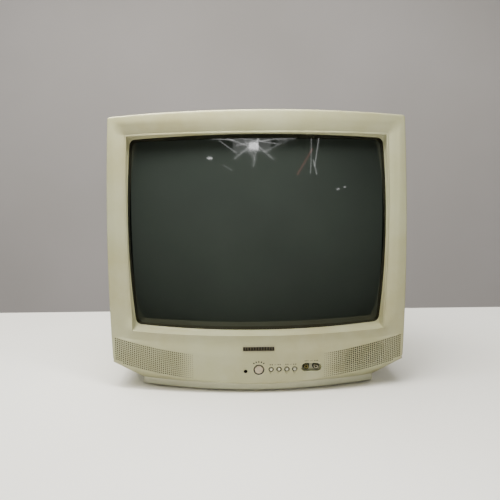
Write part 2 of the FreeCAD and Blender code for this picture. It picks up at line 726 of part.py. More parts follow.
def power_transformer():
    bobbin = box((-98, -58), (150, 186), (ON_BOARD, 62))
    core = box((-102, -54), (160, 176), (ON_BOARD + 4, 72))
    return fused([bobbin, core])


def filter_capacitor():
    can = post(15, -100, 228, (ON_BOARD, ON_BOARD + 42))
    return can.makeFillet(1.2, [e for e in can.Edges if e.BoundBox.ZMin > ON_BOARD + 41])


def small_capacitors():
    """Upright electrolytic cans in rows across the board."""
    solids = []
    for row, (radius, height) in enumerate(((5, 16), (4, 11), (6.3, 22))):
        for column in range(5):
            x = -30 + 28 * column + 6 * row
            solids.append(post(radius, x, 140 + 34 * row, (ON_BOARD, ON_BOARD + height)))
    return Part.makeCompound(solids)


def tuner():
    can = box((-118, -68), (318, 368), (ON_BOARD, 66))
    pins = [box((-116 + 8 * i, -115 + 8 * i), (342, 343), (BOARD_Z + 1.6, ON_BOARD + 1)) for i in range(6)]
    return fused([can] + pins)


def integrated_circuits():
    solids = []
    for x, depth, length, width in ((-20, 300, 48, 14), (30, 240, 40, 14), (16, 330, 30, 10)):
        body = box((x - length / 2, x + length / 2), (depth - width / 2, depth + width / 2),
                   (ON_BOARD + 0.6, ON_BOARD + 4.6))
        legs = []
        for i in range(int(length / 2.54) - 1):
            leg_x = x - length / 2 + 2.54 * (i + 0.8)
            legs.append(box((leg_x, leg_x + 0.6), (depth - width / 2 - 1, depth + width / 2 + 1),
                            (ON_BOARD, ON_BOARD + 2)))
        solids.append(fused([body] + legs))
    return Part.makeCompound(solids)


def mains_fuse():
    tube = Part.makeCylinder(2.6, 20, V(-40, back(122), ON_BOARD + 6), V(1, 0, 0))
    clips = [box((x, x + 3), (118, 126), (ON_BOARD, ON_BOARD + 9)) for x in (-40, -23)]
    return fused([tube] + clips)


# ---- rear cover ------------------------------------------------------------------------------
COVER = (                 # depth, low and high half width, underside, top middle and corner, legs
    (CASE_DEPTH, 240.2, 233.0, HULL_Z, 450.6, 442.5, HULL_LEG, 7.0),
    (160.0, 236.0, 226.0, 12.0, 446.0, 438.0, HULL_LEG, 20.0),
    (215.0, 222.0, 206.0, 10.0, 430.0, 421.0, 42.0, 32.0),
    (375.0, 184.0, 156.0, 10.0, 372.0, 366.0, 36.0, 34.0),
    (COVER_END, 176.0, 148.0, 18.0, 362.0, 356.0, 32.0, 30.0),
)
HOUSING = (               # depth, half width, low Z, high Z, leg
    (330.0, 92.0, 160.0, 350.0, 26.0),
    (456.0, 76.0, 176.0, 332.0, 26.0),
    (DEPTH, 64.0, 188.0, 320.0, 20.0),
)


def cover_loop(size, inset):
    depth, low_x, high_x, low, high_middle, high_corner, low_leg, high_leg = size
    low_x, high_x, low, high = low_x - inset, high_x - inset, low + inset, high_corner - inset
    corners = ((-low_x, low), (low_x, low), (high_x, high), (-high_x, high))
    side, middle_z = (low_x + high_x) / 2 + 4, (low + high) / 2
    middles = ((0, low - 0.2), (side, middle_z), (0, high_middle - inset), (-side, middle_z))
    low_leg, high_leg = low_leg - inset, max(high_leg - inset, 2)
    return loop(depth, corners, middles, (low_leg, low_leg, high_leg, high_leg))


def housing_loop(size, inset):
    depth, half, low, high, leg = size
    x = half - inset
    z0, z1 = low + inset, high - inset
    corners = ((-x, z0), (x, z0), (x, z1), (-x, z1))
    middle_z = (z0 + z1) / 2
    middles = ((0, z0 - 1), (x + 1, middle_z), (0, z1 + 1), (-x - 1, middle_z))
    return loop(depth, corners, middles, (leg - inset,) * 4)


def cover_shape(inset, rear):
    """Main body and neck housing of the rear cover, pulled in by a wall's thickness or not."""
    sizes = list(COVER)
    if inset:
        sizes[0] = (CASE_DEPTH - 1,) + COVER[0][1:]
        sizes[-1] = (COVER_END - rear,) + COVER[-1][1:]
    body = loft([cover_loop(size, inset) for size in sizes], True)
    houses = list(HOUSING)
    if inset:
        houses[-1] = (DEPTH - rear,) + HOUSING[-1][1:]
    return body.fuse(loft([housing_loop(size, inset) for size in houses], True))


GRIP_X, GRIP_DEPTH, GRIP_Z = (205.0, 260.0), (142.0, 212.0), (288.0, 320.0)
TERMINAL_X, TERMINAL_Z, TERMINAL_FLOOR = (-124.0, -62.0), (32.0, 68.0), 377.0


def grown(span, amount):
    return (span[0] - amount, span[1] + amount)


def mirrored(span, side):
    return tuple(sorted((side * span[0], side * span[1])))


def rear_cover():
    outer = cover_shape(0.0, 0.0)
    inner = cover_shape(WALL, WALL)
    adds = [outer.cut(inner)]
    cuts = []
    for side in (-1, 1):
        adds.append(box(mirrored((GRIP_X[0] - WALL, 240), side), grown(GRIP_DEPTH, WALL),
                        grown(GRIP_Z, WALL)).common(outer))
        cuts.append(box(mirrored(GRIP_X, side), GRIP_DEPTH, GRIP_Z))
    for x, z in COVER_SCREWS:
        adds.append(rod(6.8, (CASE_DEPTH, 230), x, z).common(outer))
        cuts.append(rod(4.8, (118, 260), x, z))
        cuts.append(rod(2.3, (90, 130), x, z))
    adds.append(box(grown(TERMINAL_X, WALL), (TERMINAL_FLOOR - WALL, COVER_END), grown(TERMINAL_Z, WALL)))
    cuts.append(box(TERMINAL_X, (TERMINAL_FLOOR, COVER_END + 10), TERMINAL_Z))
    cuts.append(rod(6, (360, 400), ANTENNA_X, ANTENNA_Z))
    cuts.append(rod(6.2, (360, 400), CORD_X, CORD_Z))
    for x, depth in REAR_FEET:
        adds.append(post(12, x, depth, (PLINTH_Z, 15)))
    for i in range(21):
        x = -110 + 11 * i
        cuts.append(box((x - 1.5, x + 1.5), (236, 330), (376, 470)))
    for i in range(12):
        z = 120 + 12 * i
        cuts.append(box((-260, 260), (240, 340), (z - 1.5, z + 1.5)))
    for i in range(9):
        x = -48 + 12 * i
        cuts.append(box((x - 1.5, x + 1.5), (465, 480), (205, 300)))
    return fused(adds).cut(cuts)


def rear_cover_screws():
    screws = []
    for x, z in COVER_SCREWS:
        shank = rod(1.9, (78, 119), x, z)
        head = rod(4.2, (118.2, 121), x, z)
        slot = box((x - 3, x + 3), (120, 122), (z - 0.5, z + 0.5))
        cross = box((x - 0.5, x + 0.5), (120, 122), (z - 3, z + 3))
        screws.append(fused([shank, head]).cut([slot, cross]))
    return Part.makeCompound(screws)


def antenna_socket():
    """Coaxial socket on the tuner: a barrel on a wider foot that passes through the cover."""
    barrel = rod(4.76, (375, ANTENNA_DEPTH[1]), ANTENNA_X, ANTENNA_Z)
    foot = rod(5.6, (368.2, ANTENNA_DEPTH[0]), ANTENNA_X, ANTENNA_Z)
    return fused([barrel, foot]).cut(rod(2.4, (374, 386), ANTENNA_X, ANTENNA_Z))


def cord_bushing():
    """Rubber bushing in the rear wall where the mains lead would enter."""
    body = rod(6.0, (378, 389), CORD_X, CORD_Z)
    flange = ring(9, 5.5, (COVER_END + 0.1, COVER_END + 3), CORD_X, CORD_Z)
    inner = ring(8, 5.5, (378, COVER_END - WALL - 0.3), CORD_X, CORD_Z)
    return fused([body, flange, inner]).cut(rod(3.6, (370, 395), CORD_X, CORD_Z))


# ---- every node ------------------------------------------------------------------------------
def nodes():
    made = {
        "front_cabinet": front_cabinet(), "badge": badge(), "feet": feet(),
        "power_button": power_button(), "power_switch": power_switch(),
        "tact_switches": tact_switches(), "control_board": control_board(),
        "ir_window": ir_window(), "ir_receiver": ir_receiver(), "standby_lamp": standby_lamp(),
        "jack_panel": jack_panel(),
        "speaker_frame": speaker_frame(), "speaker_cone": speaker_cone(),
        "speaker_magnet": speaker_magnet(), "speaker_screws": speaker_screws(),
        "panel_glass": panel_glass(), "funnel_glass": funnel_glass(), "neck_glass": neck_glass(),
        "phosphor_screen": phosphor_screen(), "shadow_mask": shadow_mask(),
        "mask_frame": mask_frame(), "magnetic_shield": magnetic_shield(),
        "tension_band": tension_band(), "tube_screws": tube_screws(),
        "electron_gun": electron_gun(), "tube_base": tube_base(), "crt_socket": crt_socket(),
        "neck_board": neck_board(),
        "horizontal_coils": horizontal_coils(), "yoke_former": yoke_former(),
        "vertical_coils": vertical_coils(), "ferrite_core": ferrite_core(),
        "yoke_clamp": yoke_clamp(), "yoke_wedges": yoke_wedges(),
        "convergence_rings": convergence_rings(), "degaussing_coil": degaussing_coil(),
        "anode_cap": anode_cap(), "anode_lead": anode_lead(),
        "main_board": main_board(), "chassis_rails": chassis_rails(),
        "flyback_transformer": flyback_transformer(),
        "screen_knob": flyback_knob(56), "focus_knob": flyback_knob(82),
        "heatsink": heatsink(), "power_transformer": power_transformer(),
        "filter_capacitor": filter_capacitor(), "small_capacitors": small_capacitors(),
        "tuner": tuner(), "integrated_circuits": integrated_circuits(),
        "mains_fuse": mains_fuse(), "antenna_socket": antenna_socket(),
        "rear_cover": rear_cover(), "rear_cover_screws": rear_cover_screws(),
        "cord_bushing": cord_bushing(),
    }
    for name, x in zip(KEYS, KEY_X):
        made[name] = key(x)
    for name, x in JACK_X.items():
        made[name] = jack(x)
    return made


os.makedirs("parts", exist_ok=True)
for name, shape in nodes().items():
    shape.exportStep("parts/" + name + ".step")
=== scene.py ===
import json
import math

import bmesh
import bpy
import numpy as np
from mathutils import Matrix, Vector


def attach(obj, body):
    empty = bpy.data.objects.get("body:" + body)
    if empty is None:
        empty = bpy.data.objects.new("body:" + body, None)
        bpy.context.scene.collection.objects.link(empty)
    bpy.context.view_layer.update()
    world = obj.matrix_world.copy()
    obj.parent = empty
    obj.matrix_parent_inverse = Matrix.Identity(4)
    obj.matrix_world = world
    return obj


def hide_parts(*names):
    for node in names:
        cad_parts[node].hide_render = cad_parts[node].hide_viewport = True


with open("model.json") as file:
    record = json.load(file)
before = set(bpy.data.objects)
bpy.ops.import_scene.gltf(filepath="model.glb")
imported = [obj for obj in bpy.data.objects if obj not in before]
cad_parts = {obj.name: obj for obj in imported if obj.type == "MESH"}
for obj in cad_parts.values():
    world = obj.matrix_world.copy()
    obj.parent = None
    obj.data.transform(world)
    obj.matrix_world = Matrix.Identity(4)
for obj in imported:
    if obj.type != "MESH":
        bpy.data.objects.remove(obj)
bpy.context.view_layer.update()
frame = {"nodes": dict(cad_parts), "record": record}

# Lengths below are in millimetres unless a name says otherwise. X runs to the viewer's right and
# Z up; a depth is counted backwards from the front-most line of the curved front.
MM = 0.001
FACE_Y = -236.0
FACE_RADIUS = 880.0
TUBE_Z = 257.0
SCREEN_DEPTH, SCREEN_RADIUS = 12.0, 850.0


# ---- nodes and materials ---------------------------------------------------------------------
# In this section, scales are per metre and bump depths in metres.
def feed(tree, socket, value):
    """Link another socket to this one, or set its own value."""
    if isinstance(value, bpy.types.NodeSocket):
        tree.links.new(value, socket)
    else:
        socket.default_value = value


def add(tree, kind, inputs=None, **props):
    made = tree.nodes.new(kind)
    for key, value in props.items():
        setattr(made, key, value)
    for key, value in (inputs or {}).items():
        feed(tree, made.inputs[key], value)
    return made


def rgba(colour):
    """sRGB 0-255 to linear."""
    linear = [((c / 255 + 0.055) / 1.055) ** 2.4 if c > 10 else c / 255 / 12.92 for c in colour]
    return (*linear, 1.0)


def blank(name):
    material = bpy.data.materials.new(name + "_look")
    material.use_nodes = True
    tree = material.node_tree
    tree.nodes.clear()
    output = add(tree, "ShaderNodeOutputMaterial")
    shader = add(tree, "ShaderNodeBsdfPrincipled")
    tree.links.new(shader.outputs["BSDF"], output.inputs["Surface"])
    return material, tree, shader


def dress(tree, shader, colour, rough, normal, metallic=0.0, ior=1.5):
    inputs = {"Base Color": colour, "Roughness": rough, "Normal": normal, "Metallic": metallic, "IOR": ior}
    for key, value in inputs.items():
        feed(tree, shader.inputs[key], value)


def where(tree, scale=(1, 1, 1)):
    coords = add(tree, "ShaderNodeTexCoord").outputs["Object"]
    return add(tree, "ShaderNodeMapping", {"Vector": coords, "Scale": scale}).outputs["Vector"]


def noise(tree, vector, scale, detail=3.0, rough=0.5):
    return add(tree, "ShaderNodeTexNoise", {"Vector": vector, "Scale": scale, "Detail": detail,
                                            "Roughness": rough}).outputs["Fac"]


def span(tree, value, low, high, to_low=0.0, to_high=1.0):
    return add(tree, "ShaderNodeMapRange", {"Value": value, "From Min": low, "From Max": high,
                                            "To Min": to_low, "To Max": to_high}).outputs["Result"]


def mix(tree, factor, a, b):
    made = add(tree, "ShaderNodeMix", data_type="RGBA")
    for key, value in zip((0, 6, 7), (factor, a, b)):      # this node's sockets for colours
        feed(tree, made.inputs[key], value)
    return made.outputs[2]


def bump(tree, height, distance, strength=1.0, below=None):
    inputs = {"Height": height, "Distance": distance, "Strength": strength}
    if below is not None:
        inputs["Normal"] = below
    return add(tree, "ShaderNodeBump", inputs).outputs["Normal"]


def finish(name, base, other, patch=20.0, grain=900.0, depth=0.00008, rough=(0.35, 0.5),
           metallic=0.0, stretch=(1, 1, 1), speck=0.25):
    """Solid material: two tones in soft patches, fine surface grain, specks of dirt and uneven gloss."""
    material, tree, shader = blank(name)
    vector = where(tree, stretch)
    tone = noise(tree, vector, patch, 4.0)
    fine = noise(tree, vector, grain, 2.0)
    dirt = noise(tree, vector, patch * 9, 3.0, 0.7)
    colour = mix(tree, span(tree, tone, 0.35, 0.65), rgba(base), rgba(other))
    dark = (*(c * 0.45 for c in rgba(base)[:3]), 1.0)
    colour = mix(tree, span(tree, dirt, 0.62, 0.8, 0.0, speck), colour, dark)
    dress(tree, shader, colour, span(tree, tone, 0.3, 0.7, *rough), bump(tree, fine, depth), metallic)
    return material


def aged_plastic(name, base, yellow, pale):
    """Aged white plastic: yellowed in large patches, mottled, spark-eroded grain, fine dirt."""
    material, tree, shader = blank(name)
    vector = where(tree)
    large = noise(tree, vector, 4.5, 3.0, 0.55)
    middle = noise(tree, vector, 22.0, 4.0, 0.6)
    fine = noise(tree, vector, 1300.0, 2.0)
    coarse = noise(tree, vector, 420.0, 2.0)
    dirt = noise(tree, vector, 140.0, 5.0, 0.75)
    colour = mix(tree, span(tree, large, 0.36, 0.66), rgba(base), rgba(yellow))
    colour = mix(tree, span(tree, middle, 0.4, 0.75, 0.0, 0.45), colour, rgba(pale))
    colour = mix(tree, span(tree, dirt, 0.64, 0.8, 0.0, 0.3), colour, rgba((112, 103, 80)))
    normal = bump(tree, fine, 0.00003, 0.6, bump(tree, coarse, 0.00006, 0.5))
    dress(tree, shader, colour, span(tree, middle, 0.3, 0.7, 0.42, 0.56), normal)
    return material


def screen_material():
    """Tube face: grey-green phosphor behind tinted glass with a black margin, seen as one gloss, with a
    painted reflection that lightens the upper middle.
    """
    material, tree, shader = blank("screen_glass")
    vector = where(tree)
    place_at = add(tree, "ShaderNodeSeparateXYZ", {"Vector": vector})
    x, z = place_at.outputs["X"], place_at.outputs["Z"]

    def maths(operation, a, b=0.0):
        made = add(tree, "ShaderNodeMath", operation=operation)
        for socket, value in zip(made.inputs, (a, b)):
            feed(tree, socket, value)
        return made.outputs[0]

    def squares(a, b):
        return maths("ADD", maths("MULTIPLY", a, a), maths("MULTIPLY", b, b))

    def past_side(along, across, limit, bow):
        """How far a place lies past a bowed side, with room for the rounded corner."""
        bowed = maths("MULTIPLY", maths("MULTIPLY", across, across), bow)
        return maths("MAXIMUM", maths("ADD", maths("SUBTRACT", along, limit), bowed))

    # distance past the lit area, a rounded rectangle with bowed sides; in metres, as the nodes work
    half_x, half_z, corner = 0.2024, 0.1510, 0.009
    middle_z = (TUBE_Z - 0.6) * MM
    up = maths("ABSOLUTE", maths("SUBTRACT", z, middle_z))
    past_x = past_side(maths("ABSOLUTE", x), up, half_x - corner, 0.178)
    past_z = past_side(up, x, half_z - corner, 0.085)
    away = maths("SQRT", squares(past_x, past_z))
    margin = span(tree, away, corner - 0.0004, corner + 0.0004)

    tone = noise(tree, vector, 6.0, 2.0)
    stripe = add(tree, "ShaderNodeTexWave", {"Vector": vector, "Scale": 230.0}, wave_type="BANDS",
                 bands_direction="X").outputs["Fac"]
    phosphor = mix(tree, span(tree, tone, 0.3, 0.7), rgba((51, 57, 52)), rgba((46, 51, 47)))
    phosphor = mix(tree, span(tree, stripe, 0.0, 1.0, 0.0, 0.25), phosphor, rgba((39, 43, 40)))
    # painted reflection: the phosphor tone is lighter at the upper middle and darker towards the edges,
    # where the room's reflection lies on the face
    painted_reflection_falloff = squares(maths("MULTIPLY", x, 5.0), maths("MULTIPLY", maths("SUBTRACT", z, 0.268), 6.2))
    phosphor = mix(tree, span(tree, painted_reflection_falloff, 0.1, 1.6, 0.0, 0.75), phosphor, rgba((27, 31, 28)))
    colour = mix(tree, margin, phosphor, rgba((6, 7, 7)))
    smear = noise(tree, where(tree, (1, 1, 0.35)), 14.0, 5.0, 0.7)
    ripple = noise(tree, vector, 30.0, 1.0)
    dress(tree, shader, colour, span(tree, smear, 0.45, 0.8, 0.03, 0.14),
          bump(tree, ripple, 0.00004, 0.4), ior=1.52)
    return material


def board_material():
    """Printed circuit board: brown laminate with copper tracks under green lacquer."""
    material, tree, shader = blank("circuit_board")
    vector = where(tree)
    cells = add(tree, "ShaderNodeTexVoronoi", {"Vector": vector, "Scale": 160.0}, distance="CHEBYCHEV",
                feature="F1").outputs["Distance"]
    tracks = span(tree, cells, 0.42, 0.46)
    tone = noise(tree, vector, 40.0, 3.0)
    base = mix(tree, tone, rgba((92, 74, 36)), rgba((116, 96, 50)))
    colour = mix(tree, tracks, base, rgba((60, 78, 34)))
    dress(tree, shader, colour, span(tree, tone, 0.3, 0.7, 0.35, 0.5), bump(tree, tracks, 0.00005))
    return material


def wound(name, base, other, scale, metallic, direction="Y", rough=(0.3, 0.42)):
    """Wound or wrapped material: fine parallel turns."""
    material, tree, shader = blank(name)
    vector = where(tree)
    turns = add(tree, "ShaderNodeTexWave", {"Vector": vector, "Scale": scale, "Distortion": 1.5,
                                            "Detail": 2.0}, wave_type="BANDS",
                bands_direction=direction).outputs["Fac"]
    tone = noise(tree, vector, 60.0, 3.0)
    colour = mix(tree, turns, rgba(other), rgba(base))
    colour = mix(tree, span(tree, tone, 0.4, 0.8, 0.0, 0.4), colour, rgba(other))
    dress(tree, shader, colour, span(tree, tone, 0.3, 0.7, *rough), bump(tree, turns, 0.0002), metallic)
    return material


SOLIDS = {
    "key_plastic": ((180, 167, 141), (168, 155, 131), 300, 2400, 0.00003),
    "pale_key": ((204, 201, 175), (190, 186, 160), 300, 2400, 0.00003),
    "badge_plate": ((30, 27, 20), (22, 20, 15), 400, 2500, 0.00002, (0.3, 0.45)),
    "badge_rim": ((128, 121, 94), (110, 103, 80), 300, 2500, 0.00002, (0.3, 0.45)),
    "badge_rib": ((92, 85, 64), (74, 68, 52), 300, 2500, 0.00002, (0.25, 0.4)),
    "print": ((30, 27, 20), (42, 38, 28), 600, 2500, 0.00001, (0.4, 0.5)),
    # blind holes: dust and dirt, darkened further as painted shade of the holes
    "hole_dirt_and_shade": ((98, 92, 66), (80, 74, 52), 400, 2500, 0.00005, (0.7, 0.9)),
    # painted shade: near-black walls of the through holes
    "through_hole_shade": ((20, 18, 14), (28, 25, 19), 400, 2500, 0.00005, (0.7, 0.9)),
    "dark_window": ((14, 12, 12), (22, 16, 16), 300, 2000, 0.00001, (0.05, 0.12)),
    "yellow_insulator": ((154, 143, 78), (124, 114, 60), 500, 2400, 0.00003),
    "white_insulator": ((172, 166, 140), (156, 150, 126), 500, 2400, 0.00003),
    "tube_glass": ((120, 126, 122), (96, 102, 100), 60, 300, 0.00002, (0.04, 0.1)),
    "funnel_coating": ((40, 40, 42), (47, 47, 49), 30, 500, 0.0001, (0.5, 0.75)),
    "phosphor": ((150, 156, 146), (136, 142, 134), 30, 1500, 0.00003, (0.7, 0.9)),
    "black_steel": ((44, 43, 42), (60, 56, 52), 40, 700, 0.00004, (0.35, 0.55), 0.7),
    "bright_steel": ((176, 178, 180), (150, 150, 150), 60, 900, 0.00003, (0.22, 0.38), 1.0),
    "socket_metal": ((196, 194, 188), (150, 146, 136), 400, 2200, 0.00002, (0.18, 0.3), 1.0),
    "ferrite": ((50, 48, 50), (66, 64, 64), 80, 500, 0.0001, (0.45, 0.65), 0.2),
    "aluminium": ((188, 190, 192), (162, 164, 166), 30, 400, 0.00003, (0.3, 0.45), 1.0, (1, 1, 12)),
    "dark_plastic": ((40, 40, 42), (54, 53, 54), 90, 1200, 0.00005, (0.4, 0.55)),
    "white_plastic": ((214, 212, 204), (196, 192, 180), 90, 1200, 0.00004),
    "sleeve_plastic": ((32, 40, 78), (20, 26, 56), 120, 900, 0.00002, (0.25, 0.4)),
    "black_rubber": ((26, 26, 26), (40, 39, 38), 150, 1500, 0.0001, (0.6, 0.8)),
    "lead_rubber": ((150, 40, 34), (122, 30, 26), 120, 1500, 0.00005, (0.4, 0.55)),
    "cone_paper": ((56, 52, 48), (40, 38, 36), 200, 1600, 0.00015, (0.75, 0.9)),
}
PLASTICS = {               # base, yellowed and pale tones; the plinth lies in shade, so its copy is painted paler to stand in for light; the socket plate uses it too
    "cabinet_plastic": ((166, 166, 130), (159, 154, 114), (177, 177, 149)),
    "shade_lightened_plastic": ((196, 196, 168), (190, 189, 159), (204, 204, 180)),
    "cover_plastic": ((173, 172, 136), (164, 158, 118), (183, 182, 153)),
}
LOOKS = {name: finish(name, *values) for name, values in SOLIDS.items()}
LOOKS.update((name, aged_plastic(name, *tones)) for name, tones in PLASTICS.items())
LOOKS["screen_glass"] = screen_material()
LOOKS["circuit_board"] = board_material()
LOOKS["copper_wire"] = wound("copper_wire", (184, 96, 54), (96, 42, 22), 260, 0.85)
LOOKS["tape_wrap"] = wound("tape_wrap", (46, 44, 44), (24, 23, 23), 60, 0.0, "DIAGONAL", (0.5, 0.7))
SLOT_OF = {part["node"]: part["material_slot"] for part in frame["record"]["subparts"]}
for node_name, thing in frame["nodes"].items():
    thing.data.materials.clear()
    thing.data.materials.append(LOOKS[SLOT_OF[node_name]])


# ---- making pieces ---------------------------------------------------------------------------
def spot(x, depth, z):
    """Scene position of a place given in millimetres."""
    return Vector((x * MM, (FACE_Y + depth) * MM, z * MM))


def shade(thing, angle):
    thing.data.polygons.foreach_set("use_smooth", [True] * len(thing.data.polygons))
    thing.data.set_sharp_from_angle(angle=math.radians(angle))


def new_object(name, data):
    """Object made from a bmesh, which is used up."""
    bmesh.ops.recalc_face_normals(data, faces=data.faces)
    mesh = bpy.data.meshes.new(name)
    data.to_mesh(mesh)
    data.free()
    made = bpy.data.objects.new(name, mesh)
    bpy.context.scene.collection.objects.link(made)
    return made


def piece(name, data, slot, nodes, body="cabinet", smooth=35.0, look=None):
    """Shown object made from a bmesh, with its finish, body and the CAD nodes that it stands for."""
    bmesh.ops.remove_doubles(data, verts=data.verts, dist=1e-6)
    made = new_object(name, data)
    shade(made, smooth)
    made.data.materials.append(LOOKS[look or slot])
    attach(made, body)
    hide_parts(*nodes)
    return made


def carve(thing, cutter, angle=35.0, operation="DIFFERENCE"):
    """Applied boolean; the cutter is deleted afterwards."""
    modifier = thing.modifiers.new("carve", "BOOLEAN")
    modifier.operation = operation
    modifier.solver = "EXACT"
    modifier.object = cutter
    graph = bpy.context.evaluated_depsgraph_get()
    mesh = bpy.data.meshes.new_from_object(thing.evaluated_get(graph), depsgraph=graph)
    thing.modifiers.remove(modifier)
    mesh.name = thing.name
    thing.data = mesh
    bpy.data.objects.remove(cutter)
    data = bmesh.new()
    data.from_mesh(mesh)
    bmesh.ops.dissolve_degenerate(data, edges=data.edges, dist=2e-6)
    data.to_mesh(mesh)
    data.free()
    shade(thing, angle)


def bridge(data, loops, cap_start=False, cap_end=False):
    """Faces between successive closed rings of vertices with equal counts."""
    for a, b in zip(loops, loops[1:]):
        for i in range(len(a)):
            j = (i + 1) % len(a)
            data.faces.new((a[i], a[j], b[j], b[i]))
    if cap_start:
        data.faces.new(loops[0])
    if cap_end:
        data.faces.new(loops[-1])


def ring_at(data, points):
    return [data.verts.new(p) for p in points]


def turned(data, profile, x, z, segments=48, tilt=0.0):
    """Solid of revolution round a line along Y; profile is (depth, radius) pairs.

    A radius of 0 at its two ends closes it on the axis; without them it is a ring.
    """
    loops, tips = [], {}
    for k, (depth, radius) in enumerate(profile):
        if radius == 0:
            tips[k] = data.verts.new(spot(x, depth, z))
            continue
        points = []
        for i in range(segments):
            angle = 2 * math.pi * i / segments
            dx, dz = radius * math.cos(angle), radius * math.sin(angle)
            points.append(spot(x + dx, depth + tilt * dx, z + dz))
        loops.append(ring_at(data, points))
    bridge(data, loops)
    for k, loop in ((0, loops[0]), (len(profile) - 1, loops[-1])):
        if k in tips:
            for a, b in zip(loop, loop[1:] + loop[:1]):
                data.faces.new((tips[k], a, b))
    if not tips:
        bridge(data, [loops[-1], loops[0]])


def turned_piece(name, profile, x, z, segments, slot, nodes, **others):
    data = bmesh.new()
    turned(data, profile, x, z, segments)
    return piece(name, data, slot, nodes, **others)


def drum(data, x, z, depths, radii, tilt=0.0, segments=48):
    """Closed round tool between two depths."""
    turned(data, [(depths[0], 0), (depths[0], radii[0]), (depths[1], radii[1]), (depths[1], 0)],
           x, z, segments, tilt)


def slab(data, layers, x=0.0, tilt=0.0):
    """Closed solid from layers of (outline points, depth); tilt leans it along X about this x."""
    loops = [ring_at(data, [spot(px, depth + tilt * (px - x), pz) for px, pz in points])
             for points, depth in layers]
    bridge(data, loops, cap_start=True, cap_end=True)


# ---- outlines --------------------------------------------------------------------------------
CORNER_WEIGHT = 1.4142     # makes the curve round a square corner a quarter circle


def circle_through(a, b, c):
    """Centre and radius."""
    ax, ay, bx, by, cx, cy = *a, *b, *c
    d = 2 * (ax * (by - cy) + bx * (cy - ay) + cx * (ay - by))
    sa, sb, sc = ax * ax + ay * ay, bx * bx + by * by, cx * cx + cy * cy
    x = (sa * (by - cy) + sb * (cy - ay) + sc * (ay - by)) / d
    y = (sa * (cx - bx) + sb * (ax - cx) + sc * (bx - ax)) / d
    return x, y, math.hypot(ax - x, ay - y)


def arc_spots(a, middle, b, fractions):
    """Points at these fractions of the arc from a through middle to b."""
    x, y, radius = circle_through(a, middle, b)
    start = math.atan2(a[1] - y, a[0] - x)
    sweep = math.atan2(b[1] - y, b[0] - x) - start
    sweep = (sweep + math.pi) % (2 * math.pi) - math.pi
    return [(x + radius * math.cos(start + sweep * t), y + radius * math.sin(start + sweep * t))
            for t in fractions]


def contour(corners, middles, legs, counts, bend=8):
    """Rounded four-sided outline. It starts half way round the first corner; sides follow in turn."""
    sides = []
    for i in range(4):
        a, b = corners[i], corners[(i + 1) % 4]
        length = math.hypot(b[0] - a[0], b[1] - a[1])
        low, high = legs[i] / length, 1 - legs[(i + 1) % 4] / length
        steps = [low + (high - low) * k / counts[i] for k in range(counts[i] + 1)]
        sides.append(arc_spots(a, middles[i], b, steps))
    points = []
    for i in range(4):
        points += sides[i]
        start, end, control = sides[i][-1], sides[(i + 1) % 4][0], corners[(i + 1) % 4]
        for k in range(1, bend):
            t = k / bend
            weights = ((1 - t) ** 2, CORNER_WEIGHT * t * (1 - t), t * t)
            total = sum(weights)
            points.append(tuple(sum(w * p[axis] for w, p in zip(weights, (start, control, end))) / total
                                for axis in (0, 1)))
    half = bend // 2
    return points[-half:] + points[:-half]


def box_corners(x_low, x_high, low, high):
    return ((-x_low, low), (x_low, low), (x_high, high), (-x_high, high))


def moved_in(points, amount):
    """Closed outline moved inwards along its own normals."""
    spots = np.array(points)
    tangent = np.roll(spots, -1, 0) - np.roll(spots, 1, 0)
    tangent /= np.linalg.norm(tangent, axis=1)[:, None]
    inward = np.stack((-tangent[:, 1], tangent[:, 0]), 1)
    return spots + inward * amount


def nearest(outline, point):
    """Nearest place on a closed outline, and the outward normal there."""
    run = np.roll(outline, -1, 0) - outline
    share = ((point - outline) * run).sum(1) / (run * run).sum(1)
    places = outline + run * np.clip(share, 0, 1)[:, None]
    best = int(np.argmin(((places - point) ** 2).sum(1)))
    tangent = run[best] / np.linalg.norm(run[best])
    return places[best], np.array((tangent[1], -tangent[0]))


def on_circle(x, z, radius, degrees):
    return [(x + radius * math.cos(math.radians(a)), z + radius * math.sin(math.radians(a)))
            for a in degrees]


def oval_points(x, z, half, radius, count=24):
    """Two half circles, this far to the right and left of the middle."""
    turns = [180 * k / count for k in range(count + 1)]
    return (on_circle(x + half, z, radius, [turn - 90 for turn in turns])
            + on_circle(x - half, z, radius, [turn + 90 for turn in turns]))


def rounded_box(x, z, half_x, half_z, radius, count=6):
    points = []
    for side_x, side_z, start in ((1, -1, -90), (1, 1, 0), (-1, 1, 90), (-1, -1, 180)):
        turns = [start + 90 * k / count for k in range(count + 1)]
        points += on_circle(x + side_x * (half_x - radius), z + side_z * (half_z - radius), radius, turns)
    return points


# ---- front cabinet ---------------------------------------------------------------------------
# The front is one closed skin: a recess round the glass, a ring outwards to the outline, and a
# lower panel whose square cells hold the grille. Plans are (x, z) points.
PITCH = 3.2                               # grille holes
COLUMNS, ROWS = 150, 13
SIDE_STEPS = 60
RING_COUNTS = (COLUMNS - 8, 56, 96, 56)
RING_SIZE = sum(RING_COUNTS) + 32
FRONT_HALF, LOW_CORNER_Z, LOW_Z = 241.0, 45.0, 15.8
OUTLINE = (box_corners(FRONT_HALF, 233.0, LOW_CORNER_Z, 442.5),
           ((0, LOW_Z), (243.0, 150.0), (0, 450.6), (-243.0, 150.0)), (9.0, 9.0, 4.6, 4.6))
EDGE = 2.5                                # rounding of the outline
SKIN = 3.2
SIDE_WALL, WALL_REACH, WALL_SHARE = 3.4, 6.0, 0.4333       # see drawn_in()
LOW_RADIUS = 1009.1

PLINTH_HALF, HULL_Z = 194.0, 13.7
PLINTH_DEPTH, PLINTH_BOW = 12.0, 980.0    # its convex front lies at depth + x squared / bow
CASE_BACK = 95.7
REAR_HALF, REAR_CORNER = 240.2, 44.0      # rear edge of the side walls, and its lower corners' radius
ARC_X, ARC_Z = REAR_HALF - REAR_CORNER, HULL_Z + REAR_CORNER

LIP_DEPTH = 6.0
